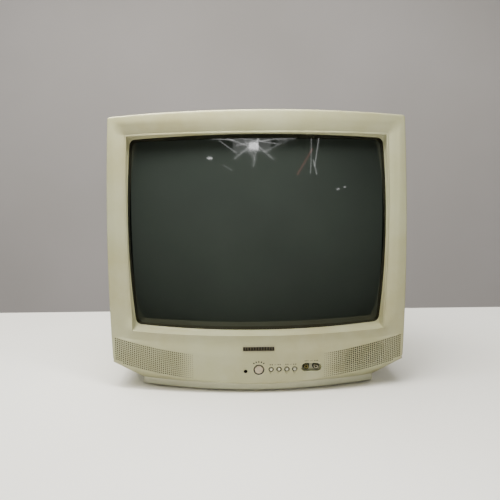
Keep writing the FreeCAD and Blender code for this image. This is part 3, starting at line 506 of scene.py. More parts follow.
# rows of the recess wall: share of the way from glass to lip, then depth off the glass or off the lip
WALL = ((-0.15, -0.6, None), (0.0, 0.5, None), (0.08, 0.9, None), (0.7, 3.4, None), (0.78, 4.2, None),
        (0.98, None, 1.2), (1.0, None, 0.45))
COVE = (0.5, 1.9, 2.6, 3.6, 5.0, 6.6, 8.4, 10.4, 12.6, 15.0)    # rows this far out from the lip
COVE_START, COVE_DEPTH, COVE_REACH = 2.6, 6.7, 13.0
SHELF, SHELF_Z = 0.4, (103.0, 122.0)      # chamfer under the glass, and where it turns into the cove
DISH = 1.9                                # hollow of the panel under that chamfer


def face_depth(x):
    return FACE_RADIUS - math.sqrt(FACE_RADIUS ** 2 - x * x)


def glass_depth(x, z):
    return SCREEN_DEPTH + SCREEN_RADIUS - math.sqrt(SCREEN_RADIUS ** 2 - x * x - (z - TUBE_Z) ** 2)


def low_edge(x):
    return LOW_Z + LOW_RADIUS - math.sqrt(LOW_RADIUS ** 2 - x * x)


def plinth_depth(x):
    return PLINTH_DEPTH + x * x / PLINTH_BOW


def aperture(grow):
    """The lip of the recess, or an outline this far outside it."""
    leg = 1.3 + 0.75 * max(grow, 0)
    side, middle_side = 205.0 + grow, 209.8 + grow
    return contour(box_corners(side, side, 100.9 - grow, 412.5 + grow),
                   ((0, 97.2 - grow), (middle_side, TUBE_Z), (0, 416.3 + grow), (-middle_side, TUBE_Z)),
                   (leg,) * 4, RING_COUNTS)


def glass_edge():
    return contour(box_corners(202.9, 202.9, 105.1, 408.2),
                   ((0, 99.1), (208.6, TUBE_Z), (0, 415.1), (-208.6, TUBE_Z)), (8.0,) * 4, RING_COUNTS)


def column_x(i):
    return PITCH * (i - COLUMNS / 2)


def clamped(value):
    return min(1.0, max(0.0, value))


def panel_plan(rim):
    """Corners of the lower panel's cells, row by row from its curved lower edge up."""
    grid = []
    for r in range(ROWS + 1):
        row = []
        for i in range(COLUMNS + 1):
            at_edge = i in (0, COLUMNS)
            x = math.copysign(240.4, column_x(i)) if at_edge else column_x(i)
            z = low_edge(x) + EDGE + PITCH * r
            if at_edge or r == 0:
                (x, z), _ = nearest(rim, np.array((x, z)))
            row.append((float(x), float(z)))
        grid.append(row)
    return grid


def ring_plan(grid, rim):
    """Outer ring round the recess: top row of the panel, right side, top, then the left side mirrored."""
    coarse = moved_in(contour(*OUTLINE, RING_COUNTS), EDGE)
    ring = list(grid[ROWS])
    side_end = COLUMNS + SIDE_STEPS
    start_z, end_z = grid[ROWS][COLUMNS][1], float(coarse[side_end][1])
    for k in range(1, SIDE_STEPS):
        z = start_z + (end_z - start_z) * k / SIDE_STEPS
        (x, z), _ = nearest(rim, np.array((FRONT_HALF, z)))
        ring.append((float(x), float(z)))
    ring += [(float(x), float(z)) for x, z in coarse[side_end:RING_SIZE - SIDE_STEPS]]
    for k in range(RING_SIZE - SIDE_STEPS, RING_SIZE):
        x, z = ring[(COLUMNS - k) % RING_SIZE]
        ring.append((-x, z))
    return ring


def front_row(data, plan, extra):
    """Vertices this far behind the plain curved front."""
    return ring_at(data, [spot(x, face_depth(x) + extra, z) for x, z in plan])


def hollow(s, gap, z):
    """How far the front lies behind its plain curve, at s out from the lip.

    gap is the way left from the last row of COVE to the outer ring. The sides and top have a flat
    lip and a cove; under the glass it is a steep chamfer and a shallow dish.
    """
    reach = COVE_REACH + min(14.0, 0.85 * gap)
    flat_lip = s < COVE_START - 0.4
    coved = LIP_DEPTH if flat_lip else COVE_DEPTH * max(0.0, 1 - (s - COVE_START) / reach) ** 2.1
    down = clamped((s - SHELF) / (COVE[-1] + gap))
    chamfered = LIP_DEPTH * max(0.0, 1 - s / SHELF) + DISH * 6.75 * down * (1 - down) ** 2
    share = clamped((z - SHELF_Z[0]) / (SHELF_Z[1] - SHELF_Z[0]))
    return chamfered + (coved - chamfered) * share


def recess_front(data, ring):
    """Rows from behind the glass's edge out to the outer ring."""
    lip, glass = aperture(0.0), glass_edge()
    rows = []
    for share, off_glass, off_lip in WALL:
        points = []
        for (gx, gz), (lx, lz) in zip(glass, lip):
            x, z = gx + (lx - gx) * share, gz + (lz - gz) * share
            on_lip = off_glass is None
            depth = face_depth(lx) + LIP_DEPTH + off_lip if on_lip else glass_depth(x, z) - off_glass
            points.append(spot(x, depth, z))
        rows.append(ring_at(data, points))
    rows.append(front_row(data, aperture(0.12), LIP_DEPTH + 0.12))
    inner = aperture(COVE[-1])
    gaps = [math.dist(a, b) for a, b in zip(inner, ring)]

    def hollow_row(plan, outs):
        return ring_at(data, [spot(x, face_depth(x) + hollow(s, gap, z), z)
                              for (x, z), s, gap in zip(plan, outs, gaps)])

    for s in COVE:
        rows.append(hollow_row(aperture(s), [s] * RING_SIZE))
    for t in (0.15, 0.35, 0.6, 0.85):
        plan = [(a[0] + (b[0] - a[0]) * t, a[1] + (b[1] - a[1]) * t) for a, b in zip(inner, ring)]
        rows.append(hollow_row(plan, [COVE[-1] + gap * t for gap in gaps]))
    rows.append(front_row(data, ring, 0.0))
    return rows


def drawn_in(outline, x, z):
    """Plan place on the inside skin, kept clear of the side walls."""
    place_on, outward = nearest(outline, np.array((x, z)))
    gap = math.hypot(x - place_on[0], z - place_on[1])
    if gap < WALL_REACH:
        x, z = place_on - outward * (SIDE_WALL + gap * WALL_SHARE)
    return float(x), float(z)


def recess_back(data, first, ring, outline):
    """Rows of the inside skin, from the hidden edge behind the glass to its outer ring."""
    rows = [first, ring_at(data, [spot(x, glass_depth(x, z) - 0.4, z) for x, z in aperture(3.0)])]
    for grow, depth in ((3.2, 10.5), (9.0, 6.4), (15.0, SKIN)):
        rows.append(front_row(data, aperture(grow), depth))
    rows.append(front_row(data, [drawn_in(outline, x, z) for x, z in ring], SKIN))
    return rows


def octagon(data, x, z, radius, extra):
    return front_row(data, on_circle(x, z, radius, [22.5 + 45 * k for k in range(8)]), extra)


def frame_cell(data, cell, hole):
    """Faces between a cell, anticlockwise from lower left, and its octagon, which starts at 22.5 degrees."""
    ll, lr, ur, ul = cell
    for face in ((lr, ur, hole[0], hole[7]), (ur, ul, hole[2], hole[1]), (ul, ll, hole[4], hole[3]),
                 (ll, lr, hole[6], hole[5]), (ur, hole[1], hole[0]), (ul, hole[3], hole[2]),
                 (ll, hole[5], hole[4]), (lr, hole[7], hole[6])):
        data.faces.new(face)


DIRT_AND_SHADE, HOLE_SHADE = 1, 2         # material indices: dirt darkened with painted shade in blind holes, painted shade in through holes
GRILLE_START, GROWING = 105.6, 8           # half width without holes; columns over which they grow
SPEAKER_X, SPEAKER_HALF, THROUGH_RADIUS = 173.5, (34.0, 22.5), 1.3
FLANK_X, CLEARANCE = 225.0, 1.5            # past this x, a hole nearer the rim than this is left out


def grille(data, front, back, rim):
    """Cells of the lower panel with blind holes, and through holes over the loudspeaker.

    Returns (first face, end, material index) for the walls of each hole.
    """
    holes = []
    for r in range(ROWS):
        for i in range(COLUMNS):
            cell, rear = [(rows[r][i], rows[r][i + 1], rows[r + 1][i + 1], rows[r + 1][i])
                          for rows in (front, back)]
            x = column_x(i) + PITCH / 2
            z = low_edge(x) + EDGE + PITCH * (r + 0.5)
            to_rim = np.linalg.norm(nearest(rim, np.array((x, z)))[0] - np.array((x, z)))
            crowded = abs(x) > FLANK_X and to_rim < CLEARANCE
            steps_out = (abs(x) - GRILLE_START) / PITCH
            if steps_out < 0 or i in (0, COLUMNS - 1) or crowded:
                data.faces.new(cell)
                data.faces.new(rear)
                continue
            growth = min(1.0, steps_out / GROWING)
            off_x = abs((x - SPEAKER_X) / SPEAKER_HALF[0])
            off_z = abs(PITCH * (r + 0.5 - ROWS / 2) / SPEAKER_HALF[1])
            through = off_x ** 3 + off_z ** 3 < 1
            radius = THROUGH_RADIUS if through else 0.55 + 0.66 * growth
            mouth = octagon(data, x, z, radius, 0.0)
            frame_cell(data, cell, mouth)
            end = octagon(data, x, z, *((radius, SKIN) if through else (radius * 0.92, 0.5 + 2.0 * growth)))
            first = len(data.faces)
            bridge(data, [mouth, end], cap_end=not through)
            # hole walls get painted shade: with dirt when blind, near-black when through
            holes.append((first, len(data.faces), HOLE_SHADE if through else DIRT_AND_SHADE))
            if through:
                frame_cell(data, rear, end)
            else:
                data.faces.new(rear)
    return holes


def under_course(u):
    """Along the lower edge: where the bevel meets the hull, the rear edge there, and its inward way."""
    out = max(0.0, (abs(u) - PLINTH_HALF) / (FRONT_HALF - PLINTH_HALF))
    if out == 0:
        low = (u, HULL_Z, plinth_depth(u) - 0.4)
        return low, np.array((u * ARC_X / PLINTH_HALF, HULL_Z)), np.array((0.0, 1.0))
    side = math.copysign(1, u)
    low = (u, HULL_Z + (LOW_CORNER_Z - HULL_Z) * out, 50.0 - 13.8 * out)
    turn = math.radians(90 * out)
    away = np.array((side * math.sin(turn), -math.cos(turn)))
    return low, np.array((side * ARC_X, ARC_Z)) + REAR_CORNER * away, -away


def side_course(on_outline, outward, depth, z, outline):
    """As under_course(), along the sides and top, whose lower ends ease into the rear corners."""
    ox, oz = on_outline
    ease_below = 93.0
    ease = max(0.0, (ease_below - z) / (ease_below - LOW_CORNER_Z)) ** 2
    (rx, rz), _ = nearest(outline, np.array((ox, oz + (ARC_Z - LOW_CORNER_Z) * ease)))
    rear = np.array((rx - math.copysign(1.2, rx) * ease, rz))
    return (ox + (rear[0] - ox) * 0.12, oz + (rear[1] - oz) * 0.12, depth + 12), rear, -outward


def wall_levels(places, outline):
    """Rows from the front edge over its rounding, along the side wall and round to its inside.

    places holds a plan point and, on the lower edge only, its place u along it.
    """
    rows = []
    for (x, z), u in places:
        on_outline, outward = nearest(outline, np.array((x, z)))
        depth = face_depth(x)
        last = math.pi / 2
        if u is None:
            low, rear, inward = side_course(on_outline, outward, depth, z, outline)
        else:
            low, rear, inward = under_course(u)
            last -= math.atan2(max(on_outline[1] - low[1], 0), max(low[2] - depth - EDGE, 1.0))

        def rounding(angle):
            px, pz = np.array((x, z)) + outward * EDGE * math.sin(angle)
            return np.array((px, depth + EDGE * (1 - math.cos(angle)), pz))

        course = [rounding(last * k / 4) for k in range(1, 5)]
        foot = np.array((low[0], low[2], low[1]))
        course += [course[3] + (foot - course[3]) * share for share in (0.08, 0.9, 1.0)]
        halfway = (np.array(low[:2]) + rear) / 2
        course.append((halfway[0], (low[2] + CASE_BACK) / 2, halfway[1]))
        for inset, ahead in ((0.0, 0.5), (0.5, 0.0), (3.0, 0.0), (3.2, 0.4)):
            px, pz = rear + inward * inset
            course.append((px, CASE_BACK - ahead, pz))
        rows.append([spot(*place) for place in course])
    return zip(*rows)


def front_shell():
    outline = np.array(contour(*OUTLINE, (300, 200, 220, 200), 24))
    rim = moved_in(outline, EDGE)
    grid = panel_plan(rim)
    ring = ring_plan(grid, rim)
    data = bmesh.new()
    front_rows = recess_front(data, ring)
    back_rows = recess_back(data, front_rows[0], ring, outline)
    bridge(data, front_rows)
    bridge(data, back_rows)
    outer, back_outer = front_rows[-1], back_rows[-1]

    front, back = [], []
    for r, plan in enumerate(grid[:ROWS]):
        front.append(front_row(data, plan, 0.0))
        drawn = [drawn_in(outline, x, z) if (i < 3 or i > COLUMNS - 3 or r < 2) else (x, z)
                 for i, (x, z) in enumerate(plan)]
        back.append(front_row(data, drawn, SKIN))
    front.append(outer[:COLUMNS + 1])
    back.append(back_outer[:COLUMNS + 1])
    holes = grille(data, front, back, rim)

    # once round the outline: lower edge, right side of the panel, ring, left side of the panel
    border, places = [], []
    for i in range(COLUMNS + 1):
        u = math.copysign(FRONT_HALF, column_x(i)) if i in (0, COLUMNS) else column_x(i)
        border.append((front[0][i], back[0][i]))
        places.append((grid[0][i], u))
    for r in range(1, ROWS):
        border.append((front[r][COLUMNS], back[r][COLUMNS]))
        places.append((grid[r][COLUMNS], None))
    for k in (*range(COLUMNS, RING_SIZE), 0):
        border.append((outer[k], back_outer[k]))
        places.append((ring[k], None))
    for r in range(ROWS - 1, 0, -1):
        border.append((front[r][0], back[r][0]))
        places.append((grid[r][0], None))
    loops = [[pair[0] for pair in border]]
    loops += [ring_at(data, level) for level in wall_levels(places, outline)]
    loops.append([pair[1] for pair in border])
    bridge(data, loops)

    data.faces.ensure_lookup_table()
    for first, end, index in holes:
        for k in range(first, end):
            data.faces[k].material_index = index
    made = piece("front_shell", data, "cabinet_plastic", ("front_cabinet",), smooth=32)
    # materials for the hole walls: dirt with painted shade, and painted shade alone
    made.data.materials.append(LOOKS["hole_dirt_and_shade"])
    made.data.materials.append(LOOKS["through_hole_shade"])
    return made


# ---- plinth and tube face --------------------------------------------------------------------
def plinth_plan(inset):
    """Outline as (x, depth), drawn in by the inset where it lies away from the middle."""
    round_x, round_depth, side_depth, middle_depth = 2.2, 2.6, 49.6, 60.0
    half = PLINTH_HALF - round_x
    across = [half * (k / 30 - 1) for k in range(61)]
    turns = [math.radians(15 * k) for k in range(1, 7)]
    side = [(half + round_x * math.sin(a), side_depth + round_depth * (1 - math.cos(a))) for a in turns]
    side += [(PLINTH_HALF, 70.0), (PLINTH_HALF, 92.4), (PLINTH_HALF - 1.4, 95.0)]
    points = [(x, plinth_depth(x)) for x in across] + side + [(-x, depth) for x, depth in reversed(side)]
    return [(x - max(-1, min(1, x / 3)) * inset,
             depth + max(-1, min(1, (middle_depth - depth) / 3)) * inset) for x, depth in points]


def plinth():
    """Base block with a convex front, soft upright edges and a closed floor."""
    data = bmesh.new()
    layers = ((0.0, 16.4), (0.0, 13.6), (0.0, 4.0), (0.35, 2.6), (1.3, 2.0), (8.0, 2.0))
    loops = [ring_at(data, [spot(x, depth, z) for x, depth in plinth_plan(inset)]) for inset, z in layers]
    bridge(data, loops, cap_start=True, cap_end=True)
    # painted light: a paler copy of the cabinet plastic makes up for the shade under the overhang
    piece("plinth", data, "cabinet_plastic", ("front_cabinet",), smooth=38, look="shade_lightened_plastic")


def tube_face():
    """Panel glass: spherical face with a rounded edge, skirt and inside."""
    data = bmesh.new()

    def outline(inset):
        half_x, half_z = 223.0 - inset, 175.0 - inset
        leg = max(30.0 - inset, 6.0)
        return contour(box_corners(half_x - 2, half_x - 2, TUBE_Z - half_z + 2, TUBE_Z + half_z - 2),
                       ((0, TUBE_Z - half_z), (half_x, TUBE_Z), (0, TUBE_Z + half_z), (-half_x, TUBE_Z)),
                       (leg,) * 4, (60, 48, 60, 48), 10)

    def face(share, off, plan):
        """Ring this far behind the face, on the plan shrunk to a share."""
        shrunk = [(x * share, TUBE_Z + (z - TUBE_Z) * share) for x, z in plan]
        return ring_at(data, [spot(x, glass_depth(x, z) + off, z) for x, z in shrunk])

    base, inner = outline(6.0), outline(12.0)
    loops = [face(0.02 + 0.98 * k / 36, 0.0, base) for k in range(37)]
    loops += [face(1.0, off, outline(inset)) for off, inset in ((0.6, 3.0), (1.9, 1.0), (4.0, 0.0))]
    loops += [ring_at(data, [spot(x, 99.7, z) for x, z in outline(inset)]) for inset in (0.0, 9.0)]
    loops.append(face(1.0, 20.0, inner))
    loops += [face(share, 12.0, inner) for share in (0.985, 0.75, 0.5, 0.25, 0.05)]
    bridge(data, loops, cap_start=True, cap_end=True)
    piece("tube_face", data, "screen_glass", ("panel_glass",), smooth=40)


# ---- keys, sockets, badge --------------------------------------------------------------------
POWER_Z, POWER_HOLE = 40.0, 8.65          # the keys lie level with the power button
KEY_HOLE = 4.1
KEY_X = {name + "_key": 19.9 + 12.7 * i
         for i, name in enumerate(("volume_down", "volume_up", "channel_down", "channel_up"))}
JACK_X = {"video_jack": 77.2, "audio_jack": 92.9}
JACK_Z, RECESS_X, RECESS_HALF, RECESS_RADIUS = 42.0, 85.2, 9.0, 7.25
IR_X, IR_Z, IR_HOLE = -21.3, 37.5, 3.1
BADGE_Z, BADGE_HALF = 75.0, (25.5, 3.75)


def recess_oval(grow=0.0):
    return oval_points(RECESS_X, JACK_Z, RECESS_HALF, RECESS_RADIUS + grow)


def badge_box(grow, radius):
    return rounded_box(0, BADGE_Z, BADGE_HALF[0] + grow, BADGE_HALF[1] + grow, radius)


def cut_controls(shell):
    """Holes and shallow dishes of the control panel."""
    dishes = bmesh.new()
    sweep = [7 * k - 50 for k in range(41)]
    for x in KEY_X.values():             # round, running out in a narrow tail below
        tail = [(x + side * 0.4, POWER_Z - 9.4) for side in (-1, 1)]
        mouth = on_circle(x, POWER_Z, 4.75, sweep) + tail
        floor = on_circle(x, POWER_Z, 4.4, sweep + [-110, -70])
        front = face_depth(x)
        slab(dishes, [(mouth, front - 1.0), (mouth, front - 0.02), (floor, front + 2.3)], x, x / FACE_RADIUS)
    drum(dishes, 0.0, POWER_Z, (-1.0, 0.8), (10.1, 8.5))
    drum(dishes, IR_X, IR_Z, (-0.6, 0.6), (4.4, IR_HOLE), IR_X / FACE_RADIUS, 32)
    front = face_depth(RECESS_X)
    slab(dishes, [(recess_oval(1.35), front - 0.8), (recess_oval(-0.05), front + 0.6)],
         RECESS_X, RECESS_X / FACE_RADIUS)
    slab(dishes, [(badge_box(0.5, 1.3), -1.0), (badge_box(0.1, 1.0), 1.5)])
    carve(shell, new_object("dishes", dishes), 32)
    holes = bmesh.new()
    drum(holes, 0.0, POWER_Z, (-2, 12), (POWER_HOLE, POWER_HOLE))
    for x in KEY_X.values():
        drum(holes, x, POWER_Z, (-2, 12), (KEY_HOLE, KEY_HOLE))
    drum(holes, IR_X, IR_Z, (-2, 12), (IR_HOLE, IR_HOLE), segments=32)
    slab(holes, [(recess_oval(), -2), (recess_oval(), 15)])
    carve(shell, new_object("holes", holes), 32)


def band(data, layers):
    """Closed frame whose section runs through layers of (outline points, depth)."""
    loops = [ring_at(data, [spot(x, depth, z) for x, z in points]) for points, depth in layers]
    bridge(data, loops + loops[:1])


def collars():
    """Tubes behind the panel: dark ones round the button and keys, which paint in the shade of their holes,
    and the wall of the socket recess.
    """
    data = bmesh.new()
    turned(data, [(0.8, 8.4), (0.9, 7.75), (9.2, 7.75), (9.2, 8.6), (0.9, 8.6)], 0.0, POWER_Z, 72)
    for x in KEY_X.values():
        front = face_depth(x)
        section = ((2.5, 2.9), (2.5, 4.05), (5.0, 4.05), (5.0, 3.6), (2.9, 3.6), (2.9, 2.9))
        turned(data, [(front + behind, radius) for behind, radius in section], x, POWER_Z, 40)
    # painted shade: dark rings inside the button and key holes
    piece("shadow_collars", data, "dark_plastic", ("front_cabinet",))
    data = bmesh.new()
    turned(data, [(3.4, 8.7), (9.4, 8.7), (9.4, 10.2), (2.8, 10.2)], 0.0, POWER_Z, 64)
    band(data, [(recess_oval(grow), depth)
                for grow, depth in ((-0.05, 4.6), (-0.05, 13.6), (2.0, 13.6), (2.0, 6.4), (1.4, 5.6))])
    piece("control_collars", data, "cabinet_plastic", ("front_cabinet",))


def controls():
    """Caps of the power button and keys, with the collars and stems behind them."""
    turned_piece("power_cap", [(1.35, 0), (1.3, 2.5), (1.1, 4.6), (0.85, 5.7), (0.8, 6.1), (0.95, 6.45),
                               (1.4, 6.62), (7.8, 6.7), (8.0, 6.9), (8.1, 7.6), (10.0, 7.6), (10.0, 9.4),
                               (11.4, 9.4), (11.5, 9.2), (11.5, 2.8), (29.0, 2.8), (29.4, 0)],
                 0.0, POWER_Z, 72, "key_plastic", ("power_button",), body="power_button", smooth=40)
    cap = ((0.7, 0), (0.75, 1.1), (0.9, 1.95), (1.15, 2.4), (1.6, 2.55), (5.4, 2.6), (5.6, 3.25))
    stem = [(9.0, 3.25), (9.0, 4.4), (9.9, 4.4), (9.9, 1.6), (9.9, 0)]
    for name, x in KEY_X.items():
        front = face_depth(x)
        turned_piece(name + "_cap", [(front + behind, radius) for behind, radius in cap] + stem,
                     x, POWER_Z, 40, "key_plastic", (name,), body=name, smooth=40, look="pale_key")


def sockets():
    """Two phono sockets, and the plate that holds them at the back of the oval recess."""
    for name, x in JACK_X.items():
        tone = "yellow_insulator" if name == "video_jack" else "white_insulator"
        turned_piece(name + "_barrel", [(6.9, 3.25), (6.5, 3.45), (6.5, 3.95), (6.9, 4.15), (13.9, 4.15),
                                        (13.9, 5.6), (16.4, 5.6), (16.4, 3.25)],
                     x, JACK_Z, 48, "socket_metal", (name,))
        turned_piece(name + "_insulator", [(7.6, 1.9), (7.3, 2.2), (7.3, 3.05), (7.6, 3.22), (16.0, 3.22),
                                           (16.0, 1.75)],
                     x, JACK_Z, 48, "white_plastic", (name,), look=tone)
        turned_piece(name + "_contact", [(9.0, 1.2), (8.6, 1.45), (8.6, 1.6), (9.2, 1.74), (20.0, 1.74),
                                         (20.0, 1.2)],
                     x, JACK_Z, 32, "socket_metal", (name,))
        data = bmesh.new()
        block = rounded_box(x, JACK_Z, 5.5, 6.0, 1.0)
        slab(data, [(block, 16.4), (block, 29.6), (rounded_box(x, JACK_Z, 5.1, 5.6, 0.8), 30.0)])
        for side in (-1, 1):
            lug = rounded_box(x + side * 3, JACK_Z - 8.4, 0.5, 2.6, 0.2, 2)
            slab(data, [(lug, 26.0), (lug, 27.0)])
        piece(name + "_body", data, "dark_plastic", (name,))
        turned_piece(name + "_washer", [(12.6, 4.25), (12.4, 4.5), (12.4, 5.1), (12.8, 5.4), (15.8, 5.4),
                                        (15.8, 4.25)],
                     x, JACK_Z, 48, "dark_plastic", (name,))
    data = bmesh.new()
    outer = rounded_box(85.25, 42.0, 18.7, 9.9, 1.5)
    slab(data, [(outer, 14.0), (outer, 15.9)])
    # painted light: the plate in the shaded recess takes the same paler copy
    plate = piece("socket_plate", data, "cabinet_plastic", ("jack_panel",), look="shade_lightened_plastic")
    data = bmesh.new()
    for x in JACK_X.values():
        drum(data, x, JACK_Z, (12, 18), (5.85, 5.85))
    carve(plate, new_object("plate_holes", data))


def badge():
    """Blank name plate: a dark field with fine ribs inside a light raised rim."""
    data = bmesh.new()
    section = ((0.0, 1.45), (0.0, 0.35), (0.2, 0.08), (0.5, 0.08), (0.65, 0.5), (0.65, 1.4))
    band(data, [(badge_box(-inset, 1.0), depth) for inset, depth in section])
    piece("badge_rim", data, "badge_plate", ("badge",), look="badge_rim")
    data = bmesh.new()
    slab(data, [(badge_box(-inset, 0.9), depth) for inset, depth in ((0.7, 1.4), (0.7, 0.75), (1.1, 0.6))])
    piece("badge_field", data, "badge_plate", ("badge",))
    data = bmesh.new()
    half_x, half_z = BADGE_HALF
    ribs, rib_x, rib_z = 11, half_x - 4.0, half_z - 1.5
    for k in range(ribs):
        x = rib_x * (2 * k / (ribs - 1) - 1)
        slab(data, [(rounded_box(x, BADGE_Z, 0.8 - inset, rib_z - inset, 0.5 - inset, 3), depth)
                    for inset, depth in ((0.0, 0.7), (0.0, 0.4), (0.25, 0.2))])
    piece("badge_ribs", data, "badge_plate", ("badge",), look="badge_rib")


def receiver_window():
    turned_piece("receiver_lens", [(0.35, 0), (0.4, 1.2), (0.6, 2.2), (1.0, 2.8), (1.6, 3.0), (5.4, 3.0),
                                   (5.4, 0)],
                 IR_X, IR_Z, 40, "dark_window", ("ir_window",), smooth=40)


def printed_marks():
    """Plain bars and dots printed over the controls; no lettering."""
    data = bmesh.new()

    def bar(x, z, half_x, half_z, turn=0.0):
        c, s = math.cos(turn), math.sin(turn)
        corners = [(-half_x, -half_z), (half_x, -half_z), (half_x, half_z), (-half_x, half_z)]
        plan = [(x + px * c - pz * s, z + px * s + pz * c) for px, pz in corners]
        loops = [front_row(data, plan, lift) for lift in (0.02, -0.03)]
        bridge(data, loops, cap_start=True, cap_end=True)

    for k in range(5):
        turn = math.radians(36 - 18 * k)
        bar(-13.6 * math.sin(turn), POWER_Z + 13.6 * math.cos(turn), 0.95, 1.25, turn)
    over_keys, over_sockets = POWER_Z + 8.4, JACK_Z + 11.2
    key_x = list(KEY_X.values())
    for x in key_x:
        for side in (-1, 1):
            bar(x + side * 1.6, over_keys, 0.7, 0.95)
    for left, right in (key_x[:2], key_x[2:]):
        bar((left + right) / 2, over_keys, 1.6, 0.22)
    for x in JACK_X.values():
        for side in (-1, 0, 1):
            bar(x + side * 2.3, over_sockets, 0.6, 0.8)
    bar(RECESS_X, over_sockets, 2.4, 0.22)
    piece("printed_marks", data, "dark_plastic", ("front_cabinet",), smooth=30, look="print")


# ---- rear cover ------------------------------------------------------------------------------
COVER = (                 # depth, low and high half width, underside, top middle and corner, legs
    (96.0, 240.2, 233.0, 13.7, 450.6, 442.5, 44.0, 4.6),
    (160.0, 236.0, 226.0, 12.0, 446.0, 438.0, 44.0, 20.0),
    (215.0, 222.0, 206.0, 10.0, 430.0, 421.0, 42.0, 32.0),
    (375.0, 184.0, 156.0, 10.0, 372.0, 366.0, 36.0, 34.0),
)
HOUSING = (               # depth, half width, low Z, high Z, leg
    (330.0, 92.0, 160.0, 350.0, 26.0),
    (456.0, 76.0, 176.0, 332.0, 26.0),
)
COVER_COUNTS, COVER_BEND = (56, 48, 64, 48), 10
COVER_WALL = 3.2
COVER_SCREWS = ((-110.0, 440.4), (110.0, 440.4), (-224.0, 62.0), (224.0, 62.0))
ANTENNA, CORD = (-93.0, 50.0), (105.0, 42.0)
REAR_FEET, FRONT_FEET = ((-126.0, 340.0), (126.0, 340.0)), ((-150.0, 66.0), (150.0, 66.0))
OUTSIDE = 262             # tools that cut a side begin here, clear of it
GRIP, TERMINALS = (177, 304), (ANTENNA[0], 50)     # middles: depth and Z of the grips, x and Z


def table_row(table, depth, soft):
    """Sizes at a depth, with the creases of the table eased."""
    rows = np.array(table)
    reach = max(0.0, min(soft, depth - rows[0, 0], rows[-1, 0] - depth))
    places = depth + reach * np.linspace(-1, 1, 11)
    return [float(np.interp(places, rows[:, 0], rows[:, k]).mean()) for k in range(1, rows.shape[1])]


def cover_ring(depth, inset):
    low_x, high_x, low, top, corner, low_leg, high_leg = table_row(COVER, depth, 16.0)
    low_x, high_x, low, high = low_x - inset, high_x - inset, low + inset, corner - inset
    side, middle_z = (low_x + high_x) / 2 + 4, (low + high) / 2
    middles = ((0, low - 0.2), (side, middle_z), (0, top - inset), (-side, middle_z))
    low_leg, high_leg = max(low_leg - inset, 3.0), max(high_leg - inset, 2.0)
    return contour(box_corners(low_x, high_x, low, high), middles,
                   (low_leg, low_leg, high_leg, high_leg), COVER_COUNTS, COVER_BEND)


def housing_ring(depth, inset):
    half, low, high, leg = table_row(HOUSING, depth, 0.0)
    x, low, high = half - inset, low + inset, high - inset
    middle_z = (low + high) / 2
    middles = ((0, low - 1), (x + 1, middle_z), (0, high + 1), (-x - 1, middle_z))
    return contour(box_corners(x, x, low, high), middles, (max(leg - inset, 4.0),) * 4,
                   COVER_COUNTS, COVER_BEND)


def rounded_off(start, end, base, gain):
    """Rows of depth and inset along a quarter ellipse; the inset grows from base by the gain."""
    quarter = [math.radians(90 * k / 8) for k in range(1, 9)]
    return [(start + (end - start) * math.sin(a), base + gain * (1 - math.cos(a))) for a in quarter]


def closed_loft(ring, rows):
    data = bmesh.new()
    slab(data, [(ring(depth, inset), depth) for depth, inset in rows])
    return data


def bar_tool(data, axis, ends, centre, half, radius, taper=0.0, count=4):
    """Rounded bar along an axis (0 X, 1 depth, 2 Z), narrower at its second end by the taper."""
    others = [k for k in range(3) if k != axis]
    loops = []
    for end, shrink in zip(ends, (0.0, taper)):
        points = []
        for a, b in rounded_box(0, 0, half[0] - shrink, half[1] - shrink, radius, count):
            place = [end, end, end]
            place[others[0]], place[others[1]] = centre[0] + a, centre[1] + b
            points.append(spot(*place))
        loops.append(ring_at(data, points))
    bridge(data, loops, cap_start=True, cap_end=True)


def cover_outside(steps):
    """Body joined with the neck housing, whose root flares out in a fillet."""
    rows = [(96.0, 0.6), (96.6, 0.0)] + [(depth, 0.0) for depth in steps if depth < 372]
    body = closed_loft(cover_ring, rows + [(372.5, 0.0)] + rounded_off(373.0, 385.0, 0.0, 9.0))
    fillet = 6.0
    flare = [(385 + fillet * t, -(fillet - math.sqrt(fillet ** 2 - (fillet * (1 - t)) ** 2)))
             for t in (0.0, 0.04, 0.12, 0.25, 0.45, 0.7, 1.0)]
    rows = [(366.0, -fillet)] + flare + [(400 + 9 * k, 0.0) for k in range(7)]
    housing = closed_loft(housing_ring, rows + [(457.5, 0.0)] + rounded_off(458.0, 472.0, 0.0, 11.0))
    shell = piece("rear_shell", body, "cover_plastic", ("rear_cover",))
    carve(shell, new_object("housing", housing), operation="UNION")
    return shell


def cover_inside(steps):
    """Tool for the hollow, less the walls round the grips, terminals and screw channels."""
    rows = [(90.0, COVER_WALL)] + [(depth, COVER_WALL) for depth in steps if depth < 370]
    hollow_body = closed_loft(cover_ring, rows + rounded_off(370.0, 381.8, COVER_WALL, 8.0))
    inside = new_object("inside", hollow_body)
    rows = [(depth, COVER_WALL) for depth in (360.0, 400.0, 450.0)]
    housing = closed_loft(housing_ring, rows + rounded_off(455.0, 468.8, COVER_WALL, 9.0))
    carve(inside, new_object("inner_housing", housing), operation="UNION")
    walls = bmesh.new()
    for side in (-1, 1):
        bar_tool(walls, 0, (side * OUTSIDE, side * 201.8), GRIP, (38.2, 19.2), 9.0)
    bar_tool(walls, 1, (395, 373.8), TERMINALS, (34.2, 21.2), 5.0)
    for x, z in COVER_SCREWS:
        drum(walls, x, z, (80, 230), (6.8, 6.8), segments=32)
    carve(inside, new_object("inner_walls", walls))
    return inside


